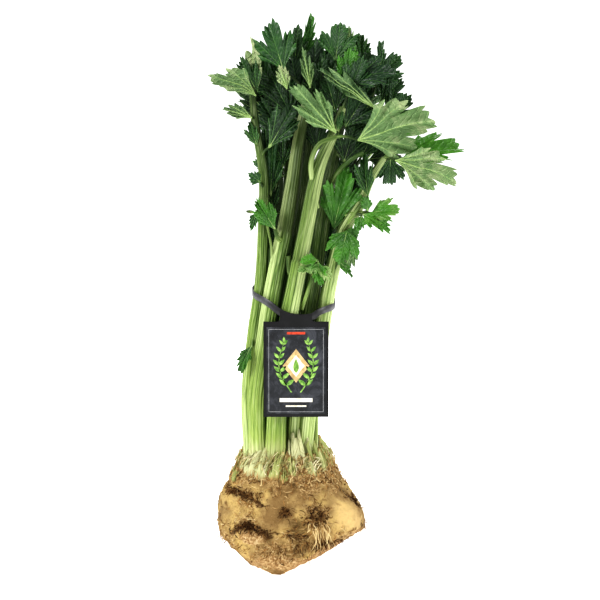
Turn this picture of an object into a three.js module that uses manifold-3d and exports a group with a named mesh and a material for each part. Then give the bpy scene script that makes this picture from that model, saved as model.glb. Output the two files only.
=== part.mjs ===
// Celeriac root with its leafy stalks and a die-cut hang tag. Millimetres, +Z up.
// The trimmed foot of the bulb stands on z = 0 with the origin at its middle; -Y is the tag's side.
import * as THREE from 'three';
import { mergeVertices } from 'three/addons/utils/BufferGeometryUtils.js';
import Module from 'manifold-3d';

const wasm = await Module();
wasm.setup();

// ---------------------------------------------------------------- driving dimensions

const CLEARANCE = 0.35;         // gap kept between two neighbouring pieces
const SLIVER = 0.12;            // finest detail that a cut may leave
const BLADE_THICKNESS = 0.8;
const TURN = Math.PI * 2;

// The bulb: at each height, how far the skin reaches to the left, right, front and back.
const BULB_PROFILE = [
  [-8, 28, 30, 30, 34],
  [0, 36, 38, 39, 42],
  [10, 46, 50, 47, 49],
  [20, 55, 58, 52, 54],
  [32, 60, 63, 55, 57],
  [45, 61, 62, 56, 58],
  [56, 59, 57, 55, 56],
  [66, 56, 49, 51, 52],
  [76, 51, 43, 46, 47],
  [86, 45, 38, 40, 41],
  [94, 41, 34, 35, 36],
  [99, 37, 31, 30, 32],
];
const BULB_SIDES = 34;
const BULB_LEVELS = 11;
// Swellings of the skin: compass angle in degrees, height, spread and how far each stands out.
const BULB_SWELLINGS = [
  [-68, 50, 13, 5.5],
  [-152, 34, 13, 4.0],
  [-100, 74, 15, 2.5],
  [-30, 60, 14, 3.0],
  [-120, 18, 12, 3.0],
  [170, 56, 15, 3.0],
  [120, 40, 16, 4.0],
  [60, 62, 15, 3.5],
  [20, 30, 14, 3.5],
  [-52, 27, 9, -2.5],
  [-128, 58, 10, -3.0],
  [90, 72, 12, -2.5],
];
// Knife cuts that trimmed the underside: a point on each cut and the way it faces.
const BULB_CUTS = [
  { point: [0, 0, 0], facing: [0, 0, -1] },
  { point: [-8.6, -39, 0], facing: [0.5, -0.3, -0.81] },
  { point: [-13, -37, 0], facing: [-0.5, -0.36, -0.79] },
  { point: [-38, 4, 0], facing: [-0.6, 0.42, -0.68] },
  { point: [34, 8, 0], facing: [0.66, 0.3, -0.69] },
];
const CUT_BLOCK = 200;

const CROWN_HEIGHT = 95;
const CROWN_SCALES = 13;        // stubs of old leaf bases that ring the crown
const CROWN_SEED = 41;
const ROOT_SEED = 7;
// Tufts of cut rootlets: compass angle, height, spread and number.
const ROOT_TUFTS = [
  [-66, 52, 10, 4],
  [-150, 34, 9, 3],
  [-104, 22, 16, 3],
  [110, 36, 26, 3],
  [20, 44, 16, 2],
];

// The stalks: the points each one passes through from the crown up, its widths from the crown
// to the tip, the way its ribbed back faces, and the place of its joint along its length.
const STALK_SECTIONS = 8;
const STALK_SIDES = 12;
const STALK_DEPTH = 0.7;        // depth of a stalk's section over its width
const STALKS = {
  left: {
    path: [[-31.5, -11, 92], [-34.8, -14, 145], [-30, -16, 200], [-24, -16, 245], [-21.5, -14, 300],
      [-22, -13, 335], [-29, -14, 378], [-31, -16, 405]],
    widths: [14, 11, 9, 5], facing: -112, joint: 0.62,
  },
  front_left: {
    path: [[-26.5, -18, 92], [-27, -22, 145], [-19, -24, 202], [-12.5, -24, 243], [-4, -22, 285],
      [2.5, -19, 324], [7.5, -16, 361], [14, -14, 392]],
    widths: [15, 16.5, 13.5, 8], facing: -112, joint: 0.57,
  },
  front: {
    path: [[-12.5, -24, 92], [-10, -28, 147], [-3, -30, 202], [5, -31, 244], [12, -31, 280],
      [23, -30, 335], [35, -26, 364], [44, -22, 388]],
    widths: [17, 15.5, 12.5, 6], facing: -90, joint: 0.5,
  },
  right: {
    path: [[11.5, -14, 92], [16, -18, 135], [22.5, -20, 175], [30, -22, 225], [36, -23, 256],
      [44, -24, 285], [57, -26, 307], [67, -26, 330], [78, -26, 347]],
    widths: [13, 13.5, 10.5, 5], facing: -62, joint: 0.6,
  },
  inner_right: {
    path: [[5, -6, 92], [8, -10, 150], [15, -15, 210], [21, -16, 250], [28, -13, 300],
      [37, -8, 350], [44, -8, 392]],
    widths: [13, 14, 12.5, 6], facing: -80, joint: 0.66,
  },
  back_left: {
    path: [[-24, 6, 92], [-24, 9, 155], [-18, 12, 215], [-13, 15, 275], [-9, 18, 335], [-9, 22, 392]],
    widths: [15, 14, 10, 5], facing: 140, joint: 0.6,
  },
  back: {
    path: [[-6, 16, 92], [-6, 18, 155], [-1, 22, 215], [5, 24, 275], [11, 27, 335], [15, 30, 396]],
    widths: [16, 16, 13, 6], facing: 95, joint: 0.55,
  },
  back_right: {
    path: [[12, 10, 92], [13, 13, 155], [18, 16, 215], [26, 19, 275], [35, 22, 335], [48, 26, 388]],
    widths: [15, 14, 10, 5], facing: 50, joint: 0.6,
  },
  far_right: {
    path: [[19, -1, 92], [20, -2, 155], [27, 0, 215], [36, 2, 275], [50, 2, 330], [64, -2, 380]],
    widths: [13, 13, 10, 5], facing: 10, joint: 0.58,
  },
  core: {
    path: [[-5, -2, 92], [-3, -4, 155], [3, -7, 215], [9, -7, 275], [15, -4, 335], [20, 0, 395]],
    widths: [15, 15, 13, 6], facing: -75, joint: 0.62,
  },
  core_left: {
    path: [[-16, -6, 92], [-16, -6, 155], [-10, -5, 215], [-5, -4, 275], [-2, -1, 330], [-2, 4, 385]],
    widths: [14, 14, 12, 6], facing: 180, joint: 0.6,
  },
};

// Side stems that leave a stalk: their own points and the radius at each end.
const SIDE_STEMS = {
  front: [
    { path: [[20, -30, 325], [17, -35, 342], [24, -37, 357], [38, -37, 363]], radii: [2.4, 1.7] },
    { path: [[10, -29, 222], [15, -36, 238], [23, -39, 262]], radii: [1.7, 1.1] },
    { path: [[3, -30, 240], [-0.5, -31, 254], [-1, -32, 266]], radii: [1.4, 2.1] },
  ],
  right: [
    { path: [[50, -25, 296], [54, -29, 301], [68, -32, 301]], radii: [1.9, 1.2] },
    { path: [[46, -26, 290], [55, -31, 303], [64, -32, 315]], radii: [1.7, 1.2] },
  ],
  front_left: [
    { path: [[-6, -24, 278], [-10, -29, 281], [-12, -31, 288]], radii: [2.2, 1.6] },
  ],
  inner_right: [
    { path: [[28, -13, 303], [37, -24, 330], [48, -33, 343], [60, -36, 350]], radii: [2.6, 1.5] },
  ],
};

// Leaflets. Each row: stem it grows from (0 is the stalk, then its side stems), place along that
// stem, foot of the blade, tip of the blade, width, compass angle and slope that its upper face
// turns to, bend and fold in degrees, and form.
const LEAFLETS = {
  left: [
    [0, 0.96, [-28, -19, 397], [-67, -27, 411], 22, -95, 40, 46, 16, 'broad'],
    [0, 0.98, [-27, -12, 400], [-41, -8, 429], 20, -105, 5, 22, 10, 'broad'],
    [0, 0.94, [-27, -9, 403], [-32, -5, 449], 20, 40, 0, -12, 26, 'slim'],
    [0, 0.87, [-31, -19, 379], [-57, -25, 389], 15, 80, 25, 34, 24, 'slim'],
    [0, 0.8, [-27, -15, 356], [-35, -16, 377], 15, -120, 8, 18, 12, 'broad'],
    [0, 0.76, [-17, -23, 355], [6, -29, 393], 23, -78, 6, 24, -9, 'broad'],
    [0, 0.6, [-16, -11, 315], [-14, -8, 368], 18, -88, 0, 12, 16, 'broad'],
    [0, 0.66, [-24, -18, 326], [-34, -22, 334], 12, -100, 12, 22, 12, 'slim'],
    [0, 0.3, [-31, -23, 190], [-42, -26, 167], 13, -112, 24, 40, 24, 'slim'],
  ],
  front_left: [
    [1, 1.0, [-12, -31, 288], [-28, -30, 314], 17, -98, 14, 46, 18, 'broad'],
    [0, 0.99, [-2, -27, 402], [-9, -30, 422], 12, 84, 4, 20, 18, 'slim'],
    [0, 1.0, [17, -24, 403], [11, -21, 436], 13, 74, 4, 14, 30, 'slim'],
    [0, 1.0, [-5, -15, 418], [-18, -11, 459], 32, -94, 4, 16, 10, 'broad'],
    [0, 0.93, [2, -9, 380], [-16, -3, 416], 26, -100, 10, 20, 10, 'broad'],
  ],
  front: [
    [1, 1.0, [38, -37, 366], [1, -38, 407], 24, 92, 10, 18, 12, 'broad'],
    [1, 1.0, [55, -38, 360], [118, -43, 377], 46, 88, 26, 22, 10, 'broad'],
    [1, 1.0, [39, -32, 367], [43, -31, 385], 7, -80, 0, 10, 20, 'slim'],
    [2, 1.0, [23, -40, 263], [8, -43, 262], 13, -80, 40, 20, 18, 'slim'],
    [2, 0.98, [23, -40, 262], [26, -42, 241], 14, -95, 24, 30, 24, 'slim'],
    [0, 1.0, [47, -27, 396], [60, -32, 428], 24, -84, 8, 20, 12, 'broad'],
  ],
  right: [
    [0, 1.0, [93, -21, 346], [145, -24, 357], 36, -80, 46, 28, 12, 'broad'],
    [0, 1.0, [86, -34, 344], [136, -44, 326], 34, 80, 32, 26, 10, 'broad'],
    [0, 0.97, [83, -19, 346], [82, -14, 323], 24, -80, 30, 30, 14, 'broad'],
    [2, 1.0, [64, -32, 315], [61, -31, 351], 18, -110, 0, 18, 34, 'broad'],
    [1, 1.0, [67, -32, 301], [91, -36, 302], 24, -84, 40, 30, 14, 'broad'],
    [1, 0.96, [67, -33, 298], [82, -38, 285], 13, -70, 20, 26, 24, 'slim'],
    [1, 0.6, [59, -33, 299], [56, -37, 286], 12, -90, 30, 30, 24, 'slim'],
    [0, 0.62, [47, -33, 287], [40, -43, 260], 26, -78, 42, 56, 12, 'broad'],
    [0, 0.6, [51, -31, 280], [46, -31, 254], 18, 84, 20, 20, 20, 'slim'],
    [1, 0.9, [64, -33, 303], [60, -34, 315], 11, -85, 10, 20, 20, 'slim'],
  ],
  inner_right: [
    [0, 0.7, [36, -21, 287], [49, -27, 341], 31, -92, 4, 12, 16, 'broad'],
    [0, 1.0, [38, -9, 427], [42, -9, 458], 30, -90, 14, 18, 10, 'broad'],
    [0, 1.0, [50, -12, 415], [51, -13, 439], 16, -80, 8, 16, 14, 'slim'],
    [0, 0.93, [38, -15, 384], [29, -17, 415], 24, -86, 6, 14, 12, 'broad'],
    [0, 1.0, [47, -5, 402], [68, -4, 436], 30, -84, 10, 20, 12, 'broad'],
    [0, 0.92, [46, -12, 372], [66, -14, 404], 28, -84, 10, 20, 12, 'broad'],
    [0, 0.85, [45, -14, 343], [54, -16, 374], 26, -90, 6, 16, 12, 'broad'],
    [0, 1.0, [46, -20, 407], [50, -22, 435], 18, -90, 10, 18, 12, 'broad'],
  ],
  far_right: [
    [0, 1.0, [70, -27, 386], [20, -27, 421], 17, 74, 34, 24, 30, 'slim'],
    [0, 1.0, [51, -22, 407], [89, -26, 418], 32, -84, 44, 30, 12, 'broad'],
    [0, 0.98, [80, -11, 380], [100, -12, 398], 26, -72, 18, 18, 12, 'broad'],
    [0, 1.0, [70, 1, 412], [93, 1, 432], 26, -70, 18, 22, 14, 'broad'],
    [0, 1.0, [74, -7, 416], [75, -8, 444], 10, -50, 4, 14, 30, 'slim'],
    [0, 0.82, [62, 10, 345], [92, 18, 366], 26, 20, 50, 30, 12, 'broad'],
    [0, 0.9, [74, 8, 372], [96, 22, 392], 24, 30, 44, 26, 12, 'broad'],
    [0, 0.95, [76, 0, 393], [94, -2, 413], 24, -80, 12, 20, 12, 'broad'],
    [0, 0.75, [66, -6, 345], [93, -14, 346], 24, -80, 30, 30, 12, 'broad'],
  ],
  back_right: [
    [0, 1.0, [60, 8, 426], [58, 3, 452], 18, -78, 6, 16, 14, 'slim'],
    [0, 1.0, [50, 0, 428], [49, -4, 457], 13, 96, 6, 12, 34, 'slim'],
    [0, 0.95, [57, 31, 380], [84, 44, 402], 26, 40, 48, 30, 12, 'broad'],
    [0, 0.98, [52, 34, 398], [60, 52, 428], 24, 60, 34, 26, 12, 'broad'],
    [0, 0.72, [48, 34, 345], [70, 54, 362], 22, 45, 50, 34, 14, 'broad'],
    [0, 1.0, [56, 20, 400], [86, 16, 432], 30, -70, 20, 22, 12, 'broad'],
  ],
  back: [
    [0, 1.0, [12, 6, 431], [18, 0, 466], 14, -70, 4, 12, 34, 'slim'],
    [0, 1.0, [4, 2, 423], [7, -2, 456], 20, -84, 4, 14, 14, 'slim'],
    [0, 0.98, [18, 38, 400], [30, 50, 440], 30, 85, 26, 24, 12, 'broad'],
    [0, 0.9, [14, 38, 372], [26, 66, 398], 26, 88, 50, 30, 12, 'broad'],
    [0, 0.7, [8, 36, 335], [4, 58, 356], 20, 100, 50, 34, 14, 'broad'],
  ],
  back_left: [
    [0, 1.0, [-12, 28, 398], [-22, 42, 436], 28, 120, 28, 24, 12, 'broad'],
    [0, 0.9, [-16, 30, 370], [-38, 52, 392], 26, 130, 50, 30, 12, 'broad'],
    [0, 0.95, [-20, 22, 384], [-50, 26, 408], 24, 160, 48, 30, 12, 'broad'],
    [0, 0.72, [-18, 28, 335], [-34, 46, 352], 18, 135, 50, 30, 14, 'broad'],
  ],
  core: [
    [0, 1.0, [20, 11, 410], [22, 15, 450], 30, -95, 8, 16, 12, 'broad'],
    [0, 0.96, [24, -6, 392], [27, -10, 428], 26, -84, 6, 14, 12, 'broad'],
    [0, 0.9, [14, -5, 370], [0, -5, 412], 28, -98, 8, 18, 12, 'broad'],
    [0, 1.0, [27, 3, 404], [46, 4, 440], 28, -84, 10, 18, 12, 'broad'],
    [0, 0.84, [14, 8, 345], [2, 13, 383], 26, -100, 8, 18, 12, 'broad'],
    [0, 0.85, [22, -8, 352], [27, -10, 380], 22, -88, 6, 16, 12, 'broad'],
  ],
  core_left: [
    [0, 1.0, [-6, 8, 398], [-18, 10, 442], 30, -110, 8, 18, 12, 'broad'],
    [0, 0.95, [-14, 8, 380], [-42, 0, 410], 24, 175, 40, 26, 12, 'broad'],
    [0, 1.0, [-6, 5, 398], [-30, 4, 430], 30, -104, 12, 20, 12, 'broad'],
    [0, 0.9, [-6, -1, 364], [-24, -4, 397], 27, -100, 10, 20, 12, 'broad'],
    [0, 0.98, [8, 2, 398], [1, 0, 432], 26, -92, 6, 16, 12, 'broad'],
  ],
};

// Outline of one side of a blade, from the tip round to the foot: angle off the midrib in
// degrees and distance from the foot as a share of the blade's length.
const BLADE_FORMS = {
  broad: [[0, 1], [8, 0.9], [15, 0.9], [22, 0.64], [34, 0.87], [45, 0.67], [56, 0.58]],
  slim: [[0, 1], [9, 0.84], [20, 0.84], [34, 0.58], [48, 0.52]],
};
const PETIOLULE_RADII = [1.5, 0.95];
const PETIOLULE_SIDES = 3;
const PETIOLULE_STEPS = 2;
const SIDE_STEM_SIDES = 4;
const BLADE_MIDDLE = 0.55;       // share of the length at which a blade's inner ring of points lies
const RINGED_WIDTH = 18;         // blades at least this wide have the inner ring

// The hang tag: a card with a neck and a strap that goes right round the bunch.
const TAG = {
  left: -21.5, right: 32, bottom: 133.5, top: 212.5, front: -39, thickness: 1.2,
  neckLeft: -8, neckRight: 18.5, neckTop: 222.2, neckDip: 5.5, shoulder: 3,
};
const STRAP_HEIGHT = 5.6;
const STRAP_THICKNESS = 0.7;
const STRAP_STEPS = 26;
const STRAP_LOOP = [
  [6, -38.4, 216], [12, -38.4, 215.8], [18.9, -38.4, 216.8], [23.8, -37, 220], [29.7, -32.5, 222],
  [35.8, -23, 223.3], [37.8, -12, 225], [36.7, 0, 228], [32.5, 14, 232], [21.5, 25.8, 235],
  [3.5, 30.6, 237], [-14, 27.5, 238], [-26, 15, 237.5], [-30.6, 2, 236.5], [-31.3, -10, 234.8],
  [-29.4, -19.2, 232.6], [-23.2, -28, 230], [-16.4, -34.2, 226.3], [-7.4, -38.3, 219.9],
  [0, -38.4, 216.8],
];

const COLOURS = { root: '#b98d52', stalk: '#9fbf62', tag: '#2b2b30' };

// ---------------------------------------------------------------- small tools

const vec = (p) => new THREE.Vector3(p[0], p[1], p[2]);
const rad = THREE.MathUtils.degToRad;

/** A repeatable stream of numbers from 0 to 1. */
function dice(seed) {
  let state = seed;
  return () => {
    state = (state * 16807) % 2147483647;
    return state / 2147483647;
  };
}

/** The unit direction at a compass angle and slope in degrees. */
function heading(compass, slope) {
  const flat = Math.cos(rad(slope));
  return new THREE.Vector3(flat * Math.cos(rad(compass)), flat * Math.sin(rad(compass)),
    Math.sin(rad(slope)));
}

/** The part of a direction that is square to an axis, at unit length. */
function squareTo(direction, axis) {
  return direction.clone().addScaledVector(axis, -direction.dot(axis)).normalize();
}

function smoothPath(points) {
  return new THREE.CatmullRomCurve3(points.map(vec), false, 'catmullrom', 0.5);
}

/** Value at place t of a list of values spread evenly along a length. */
function along(values, t) {
  const place = Math.min(Math.max(t, 0), 0.99999) * (values.length - 1);
  const i = Math.floor(place);
  return values[i] + (values[i + 1] - values[i]) * (place - i);
}

/** A solid from a closed triangle mesh. */
function solidFrom(geometry) {
  const bare = new THREE.BufferGeometry();
  bare.setAttribute('position', geometry.getAttribute('position'));
  if (geometry.index) bare.setIndex(geometry.index);
  const merged = mergeVertices(bare, 1e-5);
  return new wasm.Manifold(new wasm.Mesh({
    numProp: 3,
    vertProperties: new Float32Array(merged.getAttribute('position').array),
    triVerts: new Uint32Array(merged.index.array),
  }));
}

function meshGeometry(points, triangles) {
  const geometry = new THREE.BufferGeometry();
  geometry.setAttribute('position', new THREE.Float32BufferAttribute(points.flatMap((p) => p.toArray()), 3));
  geometry.setIndex(triangles);
  return geometry;
}

/** Skins a row of like rings into a closed solid with flat ends. */
function loft(rings) {
  const sides = rings[0].length;
  const points = rings.flat();
  const triangles = [];
  for (let i = 0; i < rings.length - 1; i += 1) {
    const here = i * sides;
    const next = here + sides;
    for (let j = 0; j < sides; j += 1) {
      const k = (j + 1) % sides;
      triangles.push(here + j, here + k, next + k, here + j, next + k, next + j);
    }
  }
  for (const [ring, flip] of [[0, true], [rings.length - 1, false]]) {
    const centre = points.length;
    points.push(rings[ring].reduce((sum, p) => sum.add(p), new THREE.Vector3()).divideScalar(sides));
    for (let j = 0; j < sides; j += 1) {
      const a = ring * sides + j;
      const b = ring * sides + ((j + 1) % sides);
      triangles.push(...(flip ? [centre, b, a] : [centre, a, b]));
    }
  }
  return solidFrom(meshGeometry(points, triangles));
}

/** A round stem through the given curve, narrowing from one radius to the other. */
function stem(curve, radii, sides, steps, grow) {
  const rings = [];
  for (let i = 0; i <= steps; i += 1) {
    const t = i / steps;
    const tangent = curve.getTangent(t);
    const across = squareTo(new THREE.Vector3(0.31, 0.89, 0.33), tangent);
    const over = new THREE.Vector3().crossVectors(tangent, across);
    const radius = along(radii, t) + grow;
    const centre = curve.getPoint(t);
    rings.push(Array.from({ length: sides }, (_, j) => {
      const angle = (TURN * j) / sides;
      return centre.clone().addScaledVector(across, radius * Math.cos(angle))
        .addScaledVector(over, radius * Math.sin(angle));
    }));
  }
  return loft(rings);
}

const joined = (solids) => solids.reduce((sum, solid) => sum.add(solid));

// ---------------------------------------------------------------- bulb

/** How far the bulb reaches at a height, for one column of its profile. */
function bulbReach(height, column) {
  const upper = BULB_PROFILE.findIndex((row) => row[0] >= height);
  const b = BULB_PROFILE[Math.max(upper, 1)];
  const a = BULB_PROFILE[Math.max(upper, 1) - 1];
  const share = (height - a[0]) / (b[0] - a[0]);
  return a[column] + (b[column] - a[column]) * share;
}

/** The skin of the bulb at a compass angle (radians) and height. */
function bulbSkin(angle, height, grow = 0) {
  const c = Math.cos(angle);
  const s = Math.sin(angle);
  const reachX = bulbReach(height, c < 0 ? 1 : 2);
  const reachY = bulbReach(height, s < 0 ? 3 : 4);
  let out = 1.4 * Math.sin(3 * angle + height / 19) + 1.1 * Math.sin(5 * angle - height / 13 + 1);
  for (const [compass, level, spread, rise] of BULB_SWELLINGS) {
    const turn = Math.atan2(Math.sin(angle - rad(compass)), Math.cos(angle - rad(compass)));
    const distance = Math.hypot(turn * 52, height - level) / spread;
    out += rise * Math.exp(-distance * distance);
  }
  return new THREE.Vector3((reachX + out + grow) * c, (reachY + out + grow) * s, height);
}

function bulbBody(grow) {
  const lowest = BULB_PROFILE[0][0];
  const highest = BULB_PROFILE[BULB_PROFILE.length - 1][0];
  const rings = [];
  for (let i = 0; i <= BULB_LEVELS; i += 1) {
    const height = lowest + ((highest - lowest) * i) / BULB_LEVELS;
    const turn = TURN / BULB_SIDES;
    const ring = Array.from({ length: BULB_SIDES }, (_, j) => bulbSkin(turn * j, height, grow));
    if (i === BULB_LEVELS) ring.forEach((p) => p.setZ(p.z + grow));
    rings.push(ring);
  }
  return loft(rings);
}

/** The big block that a knife cut takes away. */
function cutBlock({ point, facing }) {
  const box = new THREE.BoxGeometry(CUT_BLOCK, CUT_BLOCK, CUT_BLOCK);
  const direction = vec(facing).normalize();
  const turn = new THREE.Quaternion().setFromUnitVectors(new THREE.Vector3(0, 0, 1), direction);
  box.applyQuaternion(turn);
  const centre = vec(point).addScaledVector(direction, CUT_BLOCK / 2);
  box.translate(centre.x, centre.y, centre.z);
  return solidFrom(box);
}

/** Stubs of old leaf bases, which stand round the rim of the crown and lean out. */
function crownScales(grow) {
  const roll = dice(CROWN_SEED);
  return Array.from({ length: CROWN_SCALES }, (_, i) => {
    const angle = (TURN * (i + 0.5 * roll())) / CROWN_SCALES;
    const foot = bulbSkin(angle, CROWN_HEIGHT - 5 - 4 * roll(), -4);
    const out = new THREE.Vector3(Math.cos(angle), Math.sin(angle), 0);
    const height = 8 + 10 * roll();
    const lean = 0.1 + 0.35 * roll();
    const curve = new THREE.QuadraticBezierCurve3(foot,
      foot.clone().addScaledVector(out, 2.5).add(new THREE.Vector3(0, 0, height * 0.5)),
      foot.clone().addScaledVector(out, height * lean).add(new THREE.Vector3(0, 0, height + 6)));
    return stem(curve, [5.2, 4.4, 1.6], 4, 3, grow);
  });
}

/** Rootlets cut short, in tufts on the lower half of the bulb. */
function rootlets(grow) {
  const roll = dice(ROOT_SEED);
  return ROOT_TUFTS.flatMap(([compass, level, spread, count]) => Array.from({ length: count }, () => {
    const angle = rad(compass) + ((roll() - 0.5) * 2 * spread) / 52;
    const height = Math.max(level + (roll() - 0.5) * 2 * spread, 9);
    const foot = bulbSkin(angle, height, -3);
    const out = new THREE.Vector3(Math.cos(angle), Math.sin(angle), -0.35 - 0.5 * roll()).normalize();
    const tip = foot.clone().addScaledVector(out, 7 + 5 * roll());
    const middle = foot.clone().lerp(tip, 0.5).add(new THREE.Vector3(0, 0, 1.2));
    return stem(new THREE.QuadraticBezierCurve3(foot, middle, tip), [2.8, 1.3], 4, 2, grow);
  }));
}

function bulb(grow) {
  let solid = joined([bulbBody(grow), ...crownScales(grow), ...rootlets(grow)]);
  for (const cut of BULB_CUTS) solid = solid.subtract(cutBlock(cut));
  return solid;
}

// ---------------------------------------------------------------- leafy stalks

/** One ring of a stalk: ribs on its back, a shallow channel down its front. */
function stalkRing(curve, { widths, facing, joint }, t, grow) {
  const tangent = curve.getTangent(t);
  const back = squareTo(heading(facing, 0), tangent);
  const across = new THREE.Vector3().crossVectors(back, tangent);
  const knuckle = 1 + 0.1 * Math.exp(-(((t - joint) / 0.02) ** 2));
  const half = (along(widths, t) / 2) * knuckle;
  const centre = curve.getPoint(t);
  return Array.from({ length: STALK_SIDES }, (_, j) => {
    const angle = (TURN * j) / STALK_SIDES;
    const onBack = Math.sin(angle) > -0.1;
    const rib = onBack && j % 2 === 1 ? 0.9 : 1;
    const channel = onBack ? 1 : 1 - 0.45 * Math.sin(angle) ** 2;
    return centre.clone()
      .addScaledVector(across, half * rib * Math.cos(angle) + grow * Math.cos(angle))
      .addScaledVector(back, half * STALK_DEPTH * rib * channel * Math.sin(angle) + grow * Math.sin(angle));
  });
}

function stalkBody(stalk, grow) {
  const curve = smoothPath(stalk.path);
  const rings = Array.from({ length: STALK_SECTIONS + 1 },
    (_, i) => stalkRing(curve, stalk, i / STALK_SECTIONS, grow));
  return loft(rings);
}

/** The places of a blade's own axes: foot, direction of growth, upper face and side. */
function bladeFrame(foot, tip, compass, slope, bend) {
  const chord = tip.clone().sub(foot);
  const halfBend = rad(bend) / 2;
  const length = chord.length() * (halfBend / Math.sin(halfBend));
  chord.normalize();
  const face = squareTo(heading(compass, slope), chord);
  const side = new THREE.Vector3().crossVectors(face, chord);
  const grown = chord.clone().multiplyScalar(Math.cos(halfBend)).addScaledVector(face, Math.sin(halfBend));
  const up = face.clone().multiplyScalar(Math.cos(halfBend)).addScaledVector(chord, -Math.sin(halfBend));
  return { foot, length, grown, up, side };
}

/** A point of a bent and folded blade, from its flat place and its height off the middle sheet. */
function bladePoint(frame, forward, sideways, lift, bend, fold) {
  const turn = rad(bend) / frame.length;
  const arc = turn * forward;
  const rise = lift + Math.abs(sideways) * Math.sin(rad(fold));
  return frame.foot.clone()
    .addScaledVector(frame.grown, Math.sin(arc) / turn + rise * Math.sin(arc))
    .addScaledVector(frame.up, (Math.cos(arc) - 1) / turn + rise * Math.cos(arc))
    .addScaledVector(frame.side, sideways * Math.cos(rad(fold)));
}

/** A toothed, lobed blade: a fan of triangles split alike on both faces. */
function blade([, , foot, tip, width, compass, slope, bend, fold, form], seed, grow) {
  const frame = bladeFrame(vec(foot), vec(tip), compass, slope, bend);
  const half = BLADE_FORMS[form];
  const outline = [...half.slice(1).reverse().map(([a, r]) => [-a, r]), ...half];
  const widest = Math.max(...half.map(([a, r]) => r * Math.sin(rad(a)))) * frame.length;
  const stretch = width / 2 / widest;
  const roll = dice(seed);
  const wave = (0.03 + 0.03 * roll()) * frame.length;
  const phase = TURN * roll();
  const reach = outline.map(([, r]) => r * frame.length * (0.95 + 0.1 * roll()) + grow * 1.5);
  const n = outline.length;
  const ringed = width >= RINGED_WIDTH;
  const sheet = (lift) => {
    const place = (i, share) => {
      const angle = rad(outline[i][0]);
      const ripple = wave * share * share * Math.sin(5 * angle + phase);
      return bladePoint(frame, reach[i] * share * Math.cos(angle),
        reach[i] * share * Math.sin(angle) * stretch, lift + ripple, bend, fold);
    };
    const points = [bladePoint(frame, -grow - 0.5, 0, lift, bend, fold)];
    for (let i = 0; ringed && i < n; i += 2) points.push(place(i, BLADE_MIDDLE));
    for (let i = 0; i < n; i += 1) points.push(place(i, 1));
    return points;
  };
  const lift = BLADE_THICKNESS / 2 + grow;
  const points = [...sheet(lift), ...sheet(-lift)];
  const under = points.length / 2;
  const inner = (i) => 1 + i / 2;
  const outer = (i) => under - n + i;
  const triangles = [];
  const face = (a, b, c) => triangles.push(a, b, c, under + a, under + c, under + b);
  for (let i = 0; ringed && i < n - 1; i += 2) {
    face(0, inner(i), inner(i + 2));
    face(inner(i), outer(i), outer(i + 1));
    face(inner(i), outer(i + 1), inner(i + 2));
    face(inner(i + 2), outer(i + 1), outer(i + 2));
  }
  for (let i = 0; !ringed && i < n - 1; i += 1) face(0, outer(i), outer(i + 1));
  const edge = outline.map((_, i) => outer(i));
  const rim = ringed ? [0, inner(0), ...edge, inner(n - 1)] : [0, ...edge];
  rim.forEach((a, i) => {
    const b = rim[(i + 1) % rim.length];
    triangles.push(b, a, under + a, b, under + a, under + b);
  });
  return solidFrom(meshGeometry(points, triangles));
}

/** The slim stem that carries a blade; each starts a little deeper in its stalk than the last. */
function petiolule([, place, foot], order, curve, grow) {
  const depth = 2 + 0.7 * order;
  const start = curve.getPoint(place).addScaledVector(curve.getTangent(place), -depth);
  const end = vec(foot);
  const reach = start.distanceTo(end);
  const lead = start.clone().addScaledVector(curve.getTangent(place), reach * 0.45);
  const path = new THREE.QuadraticBezierCurve3(start, lead, end);
  return stem(path, PETIOLULE_RADII, PETIOLULE_SIDES, PETIOLULE_STEPS, grow);
}

function leafyStalk(key, grow) {
  const stalk = STALKS[key];
  const sideStems = SIDE_STEMS[key] ?? [];
  const curves = [smoothPath(stalk.path), ...sideStems.map(({ path }) => smoothPath(path))];
  const solids = [stalkBody(stalk, grow)];
  sideStems.forEach(({ radii }, i) => solids.push(stem(curves[i + 1], radii, SIDE_STEM_SIDES, 4, grow)));
  LEAFLETS[key].forEach((row, i) => {
    solids.push(petiolule(row, i, curves[row[0]], grow));
    solids.push(blade(row, 101 + 17 * i + key.length, grow));
  });
  return joined(solids);
}

// ---------------------------------------------------------------- hang tag

function tagCard() {
  const { left, right, bottom, top, neckLeft, neckRight, neckTop, neckDip, shoulder } = TAG;
  const outline = new THREE.Shape();
  outline.moveTo(left, bottom);
  outline.lineTo(right, bottom);
  outline.lineTo(right, top);
  outline.lineTo(neckRight + 3, top);
  outline.quadraticCurveTo(neckRight, top, neckRight, top + shoulder);
  outline.lineTo(neckRight, neckTop - neckDip / 2);
  outline.quadraticCurveTo((neckLeft + neckRight) / 2, neckTop - neckDip, neckLeft, neckTop);
  outline.lineTo(neckLeft, top + shoulder);
  outline.quadraticCurveTo(neckLeft, top, neckLeft - 3, top);
  outline.lineTo(left, top);
  outline.closePath();
  const form = { depth: TAG.thickness, bevelEnabled: false, curveSegments: 3 };
  const card = new THREE.ExtrudeGeometry(outline, form);
  card.rotateX(Math.PI / 2);
  card.translate(0, TAG.front + TAG.thickness, 0);
  return solidFrom(card);
}

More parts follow.
